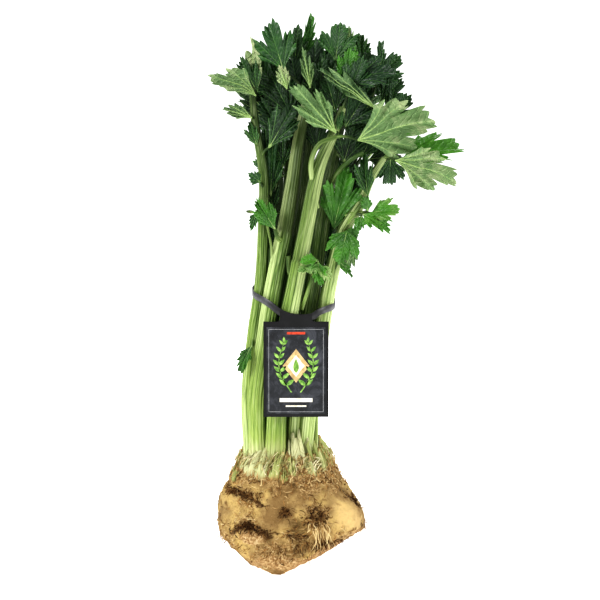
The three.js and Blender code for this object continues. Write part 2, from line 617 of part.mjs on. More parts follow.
function tagStrap(grow) {
  const curve = smoothPath(STRAP_LOOP);
  const up = new THREE.Vector3(0, 0, 1);
  const rings = Array.from({ length: STRAP_STEPS + 1 }, (_, i) => {
    const t = i / STRAP_STEPS;
    const tangent = curve.getTangent(t);
    const tall = squareTo(up, tangent).multiplyScalar(STRAP_HEIGHT / 2 + grow);
    const thick = new THREE.Vector3().crossVectors(tangent, tall).normalize()
      .multiplyScalar(STRAP_THICKNESS / 2 + grow);
    const corners = [[1, 1], [1, -1], [-1, -1], [-1, 1]];
    return corners.map(([a, b]) => curve.getPoint(t).addScaledVector(thick, a).addScaledVector(tall, b));
  });
  return loft(rings);
}

const hangTag = () => joined([tagCard(), tagStrap(0)]);

// ---------------------------------------------------------------- assembly

/** Keeps the largest body of a joined or cut solid, without the slivers that the cuts leave. */
function cleanBody(solid) {
  const bodies = solid.simplify(SLIVER).decompose();
  return bodies.reduce((best, body) => (body.volume() > best.volume() ? body : best));
}

function namedMesh(name, solid, colour, roughness) {
  const { numProp, vertProperties, triVerts } = solid.getMesh();
  const geometry = new THREE.BufferGeometry();
  const positions = [];
  for (let i = 0; i < vertProperties.length; i += numProp) positions.push(...vertProperties.slice(i, i + 3));
  geometry.setAttribute('position', new THREE.Float32BufferAttribute(positions, 3));
  geometry.setIndex(Array.from(triVerts));
  geometry.computeVertexNormals();
  const material = new THREE.MeshStandardMaterial({ color: colour, roughness, metalness: 0 });
  const mesh = new THREE.Mesh(geometry, material);
  mesh.name = name;
  return mesh;
}

const celeriac = new THREE.Group();
celeriac.name = 'celeriac';
celeriac.add(namedMesh('root_bulb', cleanBody(bulb(0)), COLOURS.root, 0.85));

let taken = bulb(CLEARANCE).add(tagStrap(CLEARANCE));
for (const key of Object.keys(STALKS)) {
  const solid = cleanBody(leafyStalk(key, 0).subtract(taken));
  celeriac.add(namedMesh(`stalk_${key}`, solid, COLOURS.stalk, 0.55));
  taken = taken.add(leafyStalk(key, CLEARANCE));
}
celeriac.add(namedMesh('hang_tag', cleanBody(hangTag()), COLOURS.tag, 0.5));

export default celeriac;
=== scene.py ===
"""Looks of a celeriac root with its leafy stalks and a hang tag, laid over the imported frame."""

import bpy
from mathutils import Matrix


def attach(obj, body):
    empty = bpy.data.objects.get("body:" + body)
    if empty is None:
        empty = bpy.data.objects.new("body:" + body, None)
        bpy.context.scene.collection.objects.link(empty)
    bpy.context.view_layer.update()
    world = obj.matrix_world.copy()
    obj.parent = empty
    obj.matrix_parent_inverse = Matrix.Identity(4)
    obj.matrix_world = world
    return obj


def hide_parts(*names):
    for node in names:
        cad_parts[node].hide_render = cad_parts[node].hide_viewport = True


bl_info = {
    "name": "Celeriac Root Looks",
    "version": (1, 0, 0),
    "blender": (4, 5, 0),
    "location": "View3D > Sidebar > Celeriac",
    "description": "Dresses a celeriac root, its ribbed stalks, its leaflets and its hang tag",
    "category": "Object",
}

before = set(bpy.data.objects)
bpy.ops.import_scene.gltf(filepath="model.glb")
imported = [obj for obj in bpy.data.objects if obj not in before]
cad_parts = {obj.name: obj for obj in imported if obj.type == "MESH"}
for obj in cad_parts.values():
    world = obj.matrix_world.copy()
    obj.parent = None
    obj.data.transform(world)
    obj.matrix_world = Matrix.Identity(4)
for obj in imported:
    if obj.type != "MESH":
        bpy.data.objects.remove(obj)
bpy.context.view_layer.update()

import itertools
import math

import bmesh
import bpy
import numpy as np
from bpy.props import FloatProperty, FloatVectorProperty, IntProperty, PointerProperty
from mathutils import Vector

BODY = "root"
MM = 0.001
TURN = 2 * math.pi

# ---------------------------------------------------------------- the part's own shapes, in mm

# The bulb: at each height, how far the skin reaches to the left, right, front and back.
BULB_PROFILE = np.array([
    [-8, 28, 30, 30, 34],
    [0, 36, 38, 39, 42],
    [10, 46, 50, 47, 49],
    [20, 55, 58, 52, 54],
    [32, 60, 63, 55, 57],
    [45, 61, 62, 56, 58],
    [56, 59, 57, 55, 56],
    [66, 56, 49, 51, 52],
    [76, 51, 43, 46, 47],
    [86, 45, 38, 40, 41],
    [94, 41, 34, 35, 36],
    [99, 37, 31, 30, 32],
], dtype=float)
BULB_MIDDLE = np.array([0.0, 0.0, 50.0])
BULB_GIRTH = 52.0  # radius at which a turn round the bulb is measured
# Swellings of the skin: compass angle in degrees, height, spread and how far each stands out.
BULB_SWELLINGS = [
    (-68, 50, 13, 5.5),
    (-152, 34, 13, 4.0),
    (-100, 74, 15, 2.5),
    (-30, 60, 14, 3.0),
    (-120, 18, 12, 3.0),
    (170, 56, 15, 3.0),
    (120, 40, 16, 4.0),
    (60, 62, 15, 3.5),
    (20, 30, 14, 3.5),
    (-52, 27, 9, -2.5),
    (-128, 58, 10, -3.0),
    (90, 72, 12, -2.5),
]
# Knife cuts that trimmed the underside: a point on each cut and the way it faces.
BULB_CUTS = [
    ((-8.6, -39, 0), (0.5, -0.3, -0.81)),
    ((-13, -37, 0), (-0.5, -0.36, -0.79)),
    ((-38, 4, 0), (-0.6, 0.42, -0.68)),
    ((34, 8, 0), (0.66, 0.3, -0.69)),
]

# The stalks: the points each one passes through from the crown up, its widths from the crown
# to the tip, the way its ribbed back faces, and the place of its joint along its length. Then come
# the painted light and shade of its left and right sides, low down and then high up: high values
# paint a pale highlight where light falls, low ones painted shade, darkest on the stalks inside the
# bunch; "worn" is how dull it is past the joint.
STALK_DEPTH = 0.7  # depth of a stalk's section over its width
STALKS = {
    "left": {
        "path": [(-31.5, -11, 92), (-34.8, -14, 145), (-30, -16, 200), (-24, -16, 245), (-21.5, -14, 300),
                 (-22, -13, 335), (-29, -14, 378), (-31, -16, 405)],
        "widths": [14, 11, 9, 5], "facing": -112, "joint": 0.62,
        "painted_light": ((0.75, 0.35), (0.5, -0.05)), "worn": 0.25,
    },
    "front_left": {
        "path": [(-26.5, -18, 92), (-27, -22, 145), (-19, -24, 202), (-12.5, -24, 243), (-4, -22, 285),
                 (2.5, -19, 324), (7.5, -16, 361), (14, -14, 392)],
        "widths": [15, 16.5, 13.5, 8], "facing": -112, "joint": 0.57,
        "painted_light": ((0.3, 0.15), (1.0, -0.05)), "worn": 0.75,
    },
    "front": {
        "path": [(-12.5, -24, 92), (-10, -28, 147), (-3, -30, 202), (5, -31, 244), (12, -31, 280),
                 (23, -30, 335), (35, -26, 364), (44, -22, 388)],
        "widths": [17, 15.5, 12.5, 6], "facing": -90, "joint": 0.5,
        "painted_light": ((0.05, -0.05), (0.45, 0.75)), "worn": 0.3,
    },
    "right": {
        "path": [(11.5, -14, 92), (16, -18, 135), (22.5, -20, 175), (30, -22, 225), (36, -23, 256),
                 (44, -24, 285), (57, -26, 307), (67, -26, 330), (78, -26, 347)],
        "widths": [13, 13.5, 10.5, 5], "facing": -62, "joint": 0.6,
        "painted_light": ((0.95, 0.75), (0.7, 0.95)), "worn": 0.2,
    },
    "inner_right": {
        "path": [(3, -14, 92), (7, -16, 150), (15, -16, 210), (21, -16, 250), (28, -13, 300),
                 (37, -8, 350), (44, -8, 392)],
        "widths": [13, 14, 12.5, 6], "facing": -80, "joint": 0.66,
        "painted_light": ((0.75, 0.5), (-0.3, -0.2)), "worn": 0.3,
    },
    "back_left": {
        "path": [(-24, 6, 92), (-24, 9, 155), (-18, 12, 215), (-13, 15, 275), (-9, 18, 335), (-9, 22, 392)],
        "widths": [15, 14, 10, 5], "facing": 140, "joint": 0.6,
        "painted_light": ((0.4, 0.3), (0.4, 0.3)), "worn": 0.3,
    },
    "back": {
        "path": [(-6, 16, 92), (-6, 18, 155), (-1, 22, 215), (5, 24, 275), (11, 27, 335), (15, 30, 396)],
        "widths": [16, 16, 13, 6], "facing": 95, "joint": 0.55,
        "painted_light": ((0.4, 0.3), (0.4, 0.3)), "worn": 0.3,
    },
    "back_right": {
        "path": [(12, 10, 92), (13, 13, 155), (18, 16, 215), (26, 19, 275), (35, 22, 335), (48, 26, 388)],
        "widths": [15, 14, 10, 5], "facing": 50, "joint": 0.6,
        "painted_light": ((0.3, 0.4), (0.3, 0.4)), "worn": 0.3,
    },
    "far_right": {
        "path": [(19, -1, 92), (20, -2, 155), (27, 0, 215), (36, 2, 275), (50, 2, 330), (64, -2, 380)],
        "widths": [13, 13, 10, 5], "facing": 10, "joint": 0.58,
        "painted_light": ((0.2, 0.3), (0.0, 0.3)), "worn": 0.3,
    },
    "core": {
        "path": [(-5, -2, 92), (-3, -4, 155), (3, -7, 215), (9, -7, 275), (15, -4, 335), (20, 0, 395)],
        "widths": [15, 15, 13, 6], "facing": -75, "joint": 0.62,
        "painted_light": ((-0.2, -0.2), (-0.3, -0.3)), "worn": 0.3,
    },
    "core_left": {
        "path": [(-16, -6, 92), (-16, -6, 155), (-10, -5, 215), (-5, -4, 275), (-2, -1, 330), (-2, 4, 385)],
        "widths": [14, 14, 12, 6], "facing": 180, "joint": 0.6,
        "painted_light": ((-0.1, -0.2), (-0.3, -0.3)), "worn": 0.3,
    },
}

# Side stems that leave a stalk: their own points, the radius at each end and the painted light
# and shade on each.
SIDE_STEMS = {
    "front": [
        {"path": [(22, -28, 305), (19, -31, 325), (17.5, -35, 342), (24, -37, 357), (38, -37, 363)],
         "radii": (2.6, 1.7), "painted_light": 0.7},
        {"path": [(10, -29, 222), (15, -36, 238), (23, -39, 262)], "radii": (1.7, 1.1)},
        {"path": [(3, -30, 240), (-0.5, -31, 254), (-1, -32, 266)], "radii": (1.4, 2.1), "painted_light": 0.5},
    ],
    "right": [
        {"path": [(50, -25, 296), (54, -29, 301), (68, -32, 301)], "radii": (1.9, 1.2)},
        {"path": [(46, -26, 290), (55, -31, 303), (64, -32, 315)], "radii": (1.7, 1.2)},
    ],
    "front_left": [
        {"path": [(-6, -24, 278), (-10, -29, 281), (-12, -31, 288)], "radii": (2.2, 1.6)},
        {"path": [(-13, -13, 244), (-14.5, -23, 262), (-15.5, -27, 276), (-18.5, -26, 291)],
         "radii": (1.3, 1.0), "painted_light": 0.9},
    ],
    "inner_right": [
        {"path": [(28, -13, 303), (37, -24, 330), (48, -33, 343), (60, -36, 350)], "radii": (2.6, 1.5),
         "painted_light": 0.0},
    ],
}

# Leaflets. Each row: stem it grows from (0 is the stalk, then its side stems), place along that
# stem, foot of the blade, tip of the blade, width, compass angle and slope that its upper face
# turns to, bend and fold in degrees, form, and tone: 0 deep green, 1 bright green, 1.5 cream.
LEAFLETS = {
    "left": [
        (0, 0.96, (-28, -19, 397), (-67, -27, 411), 22, 85, -40, -46, -16, "broad", 1.0),
        (0, 0.98, (-27, -12, 400), (-41, -8, 429), 20, -105, 5, 22, 10, "broad", 0.3),
        (0, 0.94, (-27, -9, 403), (-33, -5, 449), 23, 40, 0, -12, 26, "slim", 1.2),
        (0, 0.87, (-31, -19, 379), (-57, -25, 387), 13, 80, 25, 34, 24, "slim", 0.7),
        (0, 0.8, (-27, -15, 356), (-34, -16, 377), 12, -120, 8, 18, 12, "broad", 0.4),
        (0, 0.76, (-17, -23, 355), (6, -29, 393), 23, -78, 6, 24, -9, "broad", 0.1),
        (0, 0.6, (-16, -11, 315), (-14, -8, 368), 18, -88, 0, 12, 16, "broad", 0.35),
        (0, 0.66, (-24, -18, 326), (-34, -22, 334), 12, -100, 12, 22, 12, "slim", 0.5),
        (0, 0.3, (-31, -23, 190), (-42, -26, 167), 13, -112, 24, 40, 24, "slim", 0.6),
    ],
    "front_left": [
        (1, 1.0, (-12, -31, 288), (-28, -30, 314), 17, -98, 14, 46, 18, "broad", 0.7),
        (0, 0.99, (-2, -27, 402), (-9, -30, 422), 12, 84, 4, 20, 18, "slim", 1.25),
        (0, 1.0, (17, -24, 403), (11, -21, 436), 13, 74, 4, 14, 30, "slim", 0.65),
        (0, 1.0, (-5, -15, 418), (-18, -11, 459), 32, -94, 4, 16, 10, "broad", 0.5),
        (0, 0.93, (2, -9, 380), (-16, -3, 416), 26, -100, 10, 20, 10, "broad", 0.1),
    ],
    "front": [
        (1, 1.0, (38, -37, 366), (1, -38, 407), 24, 92, 10, 18, 12, "broad", 0.8),
        (1, 1.0, (55, -38, 360), (118, -43, 377), 46, 88, 26, 22, 10, "broad", 1.0),
        (1, 1.0, (39, -32, 367), (43, -31, 385), 7, -80, 0, 10, 20, "slim", 0.5),
        (2, 1.0, (23, -40, 263), (8, -43, 262), 13, -80, 40, 20, 18, "slim", 0.9),
        (2, 0.98, (23, -40, 262), (26, -42, 241), 14, -95, 24, 30, 24, "slim", 0.85),
        (0, 1.0, (47, -24, 396), (60, -26, 428), 24, -84, 8, 20, 12, "broad", 0.25),
    ],
    "right": [
        (0, 1.0, (93, -21, 346), (145, -24, 357), 36, -80, 46, 28, 12, "broad", 0.9),
        (0, 1.0, (86, -34, 344), (136, -44, 326), 34, 80, 32, 26, 10, "broad", 1.05),
        (0, 0.97, (83, -19, 346), (82, -14, 323), 24, -80, 30, 30, 14, "broad", 0.3),
        (2, 1.0, (64, -32, 315), (61, -31, 351), 18, -110, 0, 18, 34, "broad", 0.35),
        (1, 1.0, (67, -32, 301), (91, -36, 302), 24, -84, 40, 30, 14, "broad", 1.0),
        (1, 0.96, (67, -33, 298), (82, -38, 285), 13, -70, 20, 26, 24, "slim", 0.9),
        (1, 0.6, (59, -33, 299), (56, -37, 286), 12, -90, 30, 30, 24, "slim", 0.9),
        (0, 0.62, (47, -33, 287), (40, -43, 260), 26, -78, 42, 56, 12, "broad", 0.75),
        (0, 0.6, (51, -31, 280), (46, -31, 254), 18, 84, 20, 20, 20, "slim", 0.8),
        (1, 0.9, (64, -33, 303), (60, -34, 315), 11, -85, 10, 20, 20, "slim", 0.8),
    ],
    "inner_right": [
        (0, 0.7, (36, -21, 287), (49, -27, 341), 31, -92, 4, 12, 16, "broad", 0.75),
        (0, 1.0, (38, -9, 427), (42, -9, 458), 30, -90, 14, 18, 10, "broad", 0.5),
        (0, 1.0, (50, -12, 415), (51, -13, 439), 16, -80, 8, 16, 14, "slim", 0.9),
        (0, 0.93, (38, -15, 384), (29, -17, 415), 24, -86, 6, 14, 12, "broad", 0.2),
        (0, 1.0, (47, -5, 402), (68, -4, 436), 30, -84, 10, 20, 12, "broad", 0.3),
        (0, 0.92, (46, -12, 372), (66, -14, 404), 28, -84, 10, 20, 12, "broad", 0.15),
        (0, 0.85, (45, -14, 343), (54, -16, 374), 26, -90, 6, 16, 12, "broad", 0.1),
        (0, 1.0, (46, -20, 407), (50, -22, 435), 18, -90, 10, 18, 12, "broad", 0.85),
    ],
    "far_right": [
        (0, 1.0, (70, -30, 386), (20, -31, 421), 17, 74, 34, 24, 30, "slim", 0.65),
        (0, 1.0, (51, -22, 407), (89, -26, 418), 32, -84, 44, 30, 12, "broad", 0.0),
        (0, 0.98, (80, -11, 380), (100, -12, 398), 26, -72, 18, 18, 12, "broad", 0.3),
        (0, 1.0, (70, 1, 412), (93, 1, 432), 26, -70, 18, 22, 14, "broad", 0.35),
        (0, 1.0, (74, -7, 416), (75, -8, 444), 10, -50, 4, 14, 30, "slim", 0.3),
        (0, 0.82, (62, 10, 345), (92, 18, 366), 26, 20, 50, 30, 12, "broad", 0.4),
        (0, 0.9, (74, 8, 372), (96, 22, 392), 24, 30, 44, 26, 12, "broad", 0.45),
        (0, 0.95, (76, 0, 393), (94, -2, 413), 24, -80, 12, 20, 12, "broad", 0.25),
        (0, 0.75, (66, -6, 345), (93, -14, 346), 24, -80, 30, 30, 12, "broad", 0.1),
    ],
    "back_right": [
        (0, 1.0, (60, 8, 426), (58, 3, 452), 18, -78, 6, 16, 14, "slim", 0.45),
        (0, 1.0, (50, 0, 428), (49, -4, 457), 13, 96, 6, 12, 34, "slim", 0.8),
        (0, 0.95, (57, 31, 380), (84, 44, 402), 26, 40, 48, 30, 12, "broad", 0.4),
        (0, 0.98, (52, 34, 398), (60, 52, 428), 24, 60, 34, 26, 12, "broad", 0.5),
        (0, 0.72, (48, 34, 345), (70, 54, 362), 22, 45, 50, 34, 14, "broad", 0.45),
        (0, 1.0, (56, 20, 400), (86, 16, 432), 30, -70, 20, 22, 12, "broad", 0.3),
    ],
    "back": [
        (0, 1.0, (12, 6, 431), (18, 0, 466), 14, -70, 4, 12, 34, "slim", 0.7),
        (0, 1.0, (4, 2, 423), (7, -2, 456), 20, -84, 4, 14, 14, "slim", 0.25),
        (0, 0.98, (18, 38, 400), (30, 50, 440), 30, 85, 26, 24, 12, "broad", 0.45),
        (0, 0.9, (14, 38, 372), (26, 66, 398), 26, 88, 50, 30, 12, "broad", 0.5),
        (0, 0.7, (8, 36, 335), (4, 58, 356), 20, 100, 50, 34, 14, "broad", 0.4),
    ],
    "back_left": [
        (0, 1.0, (-12, 28, 398), (-22, 42, 436), 28, 120, 28, 24, 12, "broad", 0.45),
        (0, 0.9, (-16, 30, 370), (-38, 52, 392), 26, 130, 50, 30, 12, "broad", 0.5),
        (0, 0.95, (-20, 22, 384), (-50, 26, 408), 24, 160, 48, 30, 12, "broad", 0.4),
        (0, 0.72, (-16, 28, 335), (-27, 46, 352), 18, 135, 50, 30, 14, "broad", 0.5),
    ],
    "core": [
        (0, 1.0, (20, 11, 410), (22, 15, 450), 30, -95, 8, 16, 12, "broad", 0.2),
        (0, 0.96, (24, -6, 392), (27, -10, 428), 26, -84, 6, 14, 12, "broad", 0.2),
        (0, 0.9, (14, -5, 370), (0, -5, 412), 28, -98, 8, 18, 12, "broad", 0.15),
        (0, 1.0, (27, 3, 404), (46, 4, 440), 28, -84, 10, 18, 12, "broad", 0.25),
        (0, 0.84, (14, 8, 345), (2, 13, 383), 26, -100, 8, 18, 12, "broad", 0.15),
        (0, 0.85, (22, -8, 352), (27, -10, 380), 22, -88, 6, 16, 12, "broad", 0.1),
    ],
    "core_left": [
        (0, 1.0, (-6, 8, 398), (-18, 10, 442), 30, -110, 8, 18, 12, "broad", 0.3),
        (0, 0.95, (-14, 8, 380), (-42, 0, 410), 24, 175, 40, 26, 12, "broad", 0.35),
        (0, 1.0, (-6, 5, 398), (-30, 4, 430), 30, -104, 12, 20, 12, "broad", 0.3),
        (0, 0.9, (-6, -1, 364), (-24, -4, 397), 27, -100, 10, 20, 12, "broad", 0.2),
        (0, 0.98, (8, 2, 398), (1, 0, 432), 26, -92, 6, 16, 12, "broad", 0.1),
    ],
}

# Small young leaflets between the stalks, in rows like those above.
YOUNG_LEAFLETS = {
    "left": [
        (0, 0.62, (-28, -26, 301), (-37, -29, 303), 3, 80, 10, 20, 20, "slim", 0.3),
        (0, 0.6, (-27, -20, 302), (-32, -24, 287), 9, -100, 10, 30, 20, "slim", 0.5),
    ],
    "core_left": [
        (0, 0.8, (-18, -6, 338), (-21, -6, 374), 15, -100, 6, 16, 14, "broad", 0.2),
        (0, 0.7, (-15, -9, 300), (-15, -9, 333), 13, -95, 4, 16, 18, "broad", 0.15),
        (0, 0.5, (-15, -10, 266), (-17, -9, 304), 13, -95, 4, 16, 18, "broad", 0.15),
        (0, 0.8, (-6, -8, 338), (-6, -8, 368), 14, -90, 4, 16, 16, "broad", 0.15),
    ],
    "inner_right": [
        (0, 0.55, (30, -12, 256), (35, -13, 302), 17, -84, 4, 14, 16, "broad", 0.25),
        (0, 0.75, (50, -12, 312), (57, -15, 342), 18, -84, 8, 16, 14, "broad", 0.2),
        (0, 0.8, (47, -7, 364), (61, -9, 387), 18, -84, 12, 18, 14, "broad", 0.25),
        (0, 0.75, (44, -7, 328), (46, -7, 358), 16, -84, 6, 18, 14, "broad", 0.2),
        (0, 0.9, (33, -2, 374), (38, -4, 398), 18, -88, 6, 16, 14, "broad", 0.2),
        (0, 0.45, (14, -14, 232), (19, -13, 268), 12, -88, 4, 14, 18, "slim", 0.2),
    ],
    "far_right": [
        (0, 0.8, (60, -7, 348), (71, -9, 369), 18, -84, 16, 20, 14, "broad", 0.2),
        (0, 0.9, (66, -10, 366), (84, -14, 382), 18, -84, 16, 20, 14, "broad", 0.1),
    ],
    "right": [
        (1, 0.5, (60, -33, 300), (75, -38, 289), 15, -80, 30, 28, 18, "broad", 0.95),
        (0, 0.45, (40, -28, 262), (52, -34, 248), 8, -80, 24, 30, 24, "slim", 0.7),
        (0, 0.56, (49, -27, 280), (56, -31, 290), 12, -84, 12, 20, 20, "slim", 0.7),
    ],
    "front": [
        (2, 0.97, (22, -41, 260), (14, -45, 253), 13, -88, 24, 30, 20, "broad", 1.1),
        (2, 0.95, (24, -41, 259), (33, -43, 246), 12, -80, 24, 30, 20, "slim", 1.2),
        (2, 0.9, (20, -40, 258), (6, -44, 254), 9, -88, 24, 30, 20, "slim", 1.15),
    ],
}

# The blade forms. "reach" is the coarse outline that sets each blade's spread: angle off the
# midrib in degrees and distance from the foot as a share of the length. "teeth" is the fine
# edge, from the tip round to the foot: tooth, notch, tooth and so on. "lobes" holds the angle of
# each lobe's main vein.
BLADE_FORMS = {
    "broad": {
        "reach": [(0, 1), (8, 0.9), (15, 0.9), (22, 0.64), (34, 0.87), (45, 0.67), (56, 0.58)],
        "teeth": [(0, 1.0), (3.5, 0.925), (7.5, 0.95), (11, 0.865), (15, 0.9), (21.5, 0.6), (26.5, 0.78),
                  (29.5, 0.74), (34, 0.88), (37.5, 0.79), (42, 0.8), (46, 0.61), (50, 0.68),
                  (53.5, 0.6), (57, 0.57)],
        "lobes": (0, 34, 50),
    },
    "slim": {
        "reach": [(0, 1), (9, 0.84), (20, 0.84), (34, 0.58), (48, 0.52)],
        "teeth": [(0, 1.0), (4, 0.9), (8.5, 0.92), (13, 0.7), (20, 0.84), (25, 0.64), (31, 0.7),
                  (36, 0.52), (42, 0.58), (45, 0.5), (48, 0.52)],
        "lobes": (0, 20, 42),
    },
}
TOOTH_FLANK = (0.0, 0.3, 0.65)  # places along a flank, from its lower end to its upper end
BLADE_SHARES = (0.12, 0.26, 0.4, 0.53, 0.65, 0.76, 0.86, 0.94, 1.0)
PETIOLULE_RADII = (1.5, 0.95)

# The hang tag: a card with a neck and a strap that goes right round the bunch.
TAG = {
    "left": -21.5, "right": 32, "bottom": 133.5, "top": 212.5, "front": -39, "thickness": 1.2,
    "neck_left": -8, "neck_right": 18.5, "neck_top": 222.2, "neck_dip": 5.5, "shoulder": 3,
}
STRAP_HEIGHT = 5.6
STRAP_THICKNESS = 0.7
STRAP_STEPS = 150
STRAP_LOOP = [
    (6, -38.4, 216), (12, -38.4, 215.8), (18.9, -38.4, 216.8), (23.8, -37, 220), (29.7, -32.5, 222),
    (35.8, -23, 223.3), (37.8, -12, 225), (36.7, 0, 228), (32.5, 14, 232), (21.5, 25.8, 235),
    (3.5, 30.6, 237), (-14, 27.5, 238), (-26, 15, 237.5), (-30.6, 2, 236.5), (-31.3, -10, 234.8),
    (-29.4, -19.2, 232.6), (-23.2, -28, 230), (-16.4, -34.2, 226.3), (-7.4, -38.3, 219.9),
    (0, -38.4, 216.8),
]

# ---------------------------------------------------------------- directions, paths and noise


def unit(vectors):
    return vectors / np.linalg.norm(vectors, axis=-1, keepdims=True)


def heading(compass, slope):
    """The unit direction at a compass angle and slope in degrees."""
    around, up = math.radians(compass), math.radians(slope)
    return np.array([math.cos(up) * math.cos(around), math.cos(up) * math.sin(around), math.sin(up)])


def square_to(direction, axis):
    """The part of a direction that is square to an axis, at unit length."""
    direction = np.broadcast_to(direction, axis.shape)
    return unit(direction - (direction * axis).sum(-1, keepdims=True) * axis)


class SmoothPath:
    """A smooth curve through points, read at places from 0 to 1."""

    def __init__(self, points):
        points = np.array(points, dtype=float)
        before = 2 * points[0] - points[1]
        after = 2 * points[-1] - points[-2]
        self.points = np.vstack([before, points, after])

    def point(self, place):
        spans = len(self.points) - 3
        at = np.clip(np.asarray(place, dtype=float), 0, 1) * spans
        first = np.minimum(at.astype(int), spans - 1)
        w = (at - first)[..., None]
        p0, p1, p2, p3 = (self.points[first + k] for k in range(4))
        lead, trail = (p2 - p0) / 2, (p3 - p1) / 2
        cubic = (2 * p1 - 2 * p2 + lead + trail) * w ** 3
        square = (3 * p2 - 3 * p1 - 2 * lead - trail) * w ** 2
        return cubic + square + lead * w + p1

    def tangent(self, place):
        step = 1e-4
        place = np.asarray(place, dtype=float)
        return unit(self.point(np.minimum(place + step, 1)) - self.point(np.maximum(place - step, 0)))


def run_along(points):
    """How far along a line each of its points lies."""
    return np.concatenate([[0], np.cumsum(np.linalg.norm(np.diff(points, axis=0), axis=1))])


def arch(start, middle, end, steps):
    """Points along a curve that leaves start towards middle and arrives at end from there."""
    t = np.linspace(0, 1, steps)[:, None]
    return (1 - t) ** 2 * start + 2 * t * (1 - t) * middle + t ** 2 * end


DICE_STEP = 16807
DICE_TOP = 2147483647


def dice(seed):
    """A repeatable stream of numbers from 0 to 1."""
    while True:
        seed = seed * DICE_STEP % DICE_TOP
        yield seed / DICE_TOP


LATTICE_KEYS = np.array([73856093, 19349663, 83492791])
SEED_KEY = 1013904223
SHUFFLES = ((13, 1274126177), (15, 69069))  # shift and factor of each shuffle of a corner's key


def lattice_noise(points, seed):
    """Smooth noise from -1 to 1 at each point."""
    cell = np.floor(points).astype(np.int64)
    part = points - cell
    ease = part * part * (3 - 2 * part)
    total = np.zeros(points.shape[:-1])
    for corner in itertools.product((0, 1), repeat=3):
        weight = np.prod(np.where(corner, ease, 1 - ease), axis=-1)
        key = (cell + corner) @ LATTICE_KEYS + seed * SEED_KEY
        for shift, factor in SHUFFLES:
            key = ((key ^ (key >> shift)) * factor) & 0x7FFFFFFF
        total += weight * ((key >> 8) / 4194303.5 - 1)
    return total


def fractal(points, size, octaves, seed):
    """Noise whose largest bumps are about size apart, with finer ones over them."""
    total = np.zeros(points.shape[:-1])
    for k in range(octaves):
        total += lattice_noise(points * (2 ** k / size) + 17.3 * k, seed + k) / 2 ** k
    return total


# ---------------------------------------------------------------- meshes


class Shell:
    """Collects closed surfaces in mm, and the facts that the finishes read, for one piece.

    place holds where each point lies on its surface, and tint three shares for its colour.
    """

    def __init__(self):
        self.points, self.faces, self.finish, self.place, self.tint = [], [], [], [], []
        self.count = 0

    def add(self, points, faces, place, tint, finish=0):
        """Adds one surface. finish numbers the material of all its faces or of each group."""
        points = np.reshape(points, (-1, 3))
        for group, number in zip(faces, np.broadcast_to(finish, len(faces))):
            self.faces.append(group + self.count)
            self.finish.append(np.full(len(group), number))
        self.points.append(points)
        self.place.append(np.broadcast_to(place, points.shape))
        self.tint.append(np.broadcast_to(tint, points.shape))
        self.count += len(points)

    def piece(self, name, materials, node, slot, crease=50):
        """The piece as a smooth mesh object that stands for a node of the part."""
        mesh = bpy.data.meshes.new(name)
        points = np.concatenate(self.points) * MM
        corners = np.concatenate([group.ravel() for group in self.faces])
        sides = np.concatenate([np.full(len(group), group.shape[1]) for group in self.faces])
        mesh.vertices.add(len(points))
        mesh.vertices.foreach_set("co", points.astype(np.float32).ravel())
        mesh.loops.add(len(corners))
        mesh.loops.foreach_set("vertex_index", corners.astype(np.int32))
        mesh.polygons.add(len(sides))
        mesh.polygons.foreach_set("loop_start", (np.cumsum(sides) - sides).astype(np.int32))
        mesh.polygons.foreach_set("material_index", np.concatenate(self.finish).astype(np.int32))
        mesh.update(calc_edges=True)
        for fact, values in (("place", self.place), ("tint", self.tint)):
            layer = mesh.attributes.new(fact, "FLOAT_VECTOR", "POINT")
            layer.data.foreach_set("vector", np.concatenate(values).astype(np.float32).ravel())
        mesh.shade_smooth()
        mesh.set_sharp_from_angle(angle=math.radians(crease))
        return place_piece(mesh, name, materials, node)


def place_piece(mesh, name, materials, node):
    """Puts a mesh in the scene as a piece that rides on the part and stands for a node."""
    piece = bpy.data.objects.new(name, mesh)
    bpy.context.scene.collection.objects.link(piece)
    for material in materials:
        mesh.materials.append(material)
    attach(piece, BODY)
    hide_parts(node)
    return piece


def grid_faces(rows, columns, wrap=False):
    """Four-sided faces of a grid of points whose rows run one after another."""
    i = np.arange(rows - 1)[:, None]
    j = np.arange(columns if wrap else columns - 1)[None, :]
    k = (j + 1) % columns
    here, above = i * columns, (i + 1) * columns
    return np.stack([here + j, here + k, above + k, above + j], axis=-1).reshape(-1, 4)


def tube_faces(rows, columns):
    """A closed tube's faces. Its two end middles are the points after the last ring."""
    j = np.arange(columns)
    k = (j + 1) % columns
    last = (rows - 1) * columns
    foot = np.stack([np.full(columns, rows * columns), k, j], axis=-1)
    top = np.stack([np.full(columns, rows * columns + 1), last + j, last + k], axis=-1)
    return [grid_faces(rows, columns, wrap=True), foot, top]


def add_rings(shell, rings, ends, place, tint, finish=0):
    """A closed tube from rings of points, with a middle point to close each end."""
    rows, columns = rings.shape[:2]
    facts = [np.broadcast_to(fact, rings.shape) for fact in (place, tint)]
    facts = [np.vstack([fact.reshape(-1, 3), fact[[0, -1], 0]]) for fact in facts]
    points = np.vstack([rings.reshape(-1, 3), ends])
    shell.add(points, tube_faces(rows, columns), *facts, finish)


OFF_AXIS = np.array([0.31, 0.89, 0.33])  # a direction that few stems follow


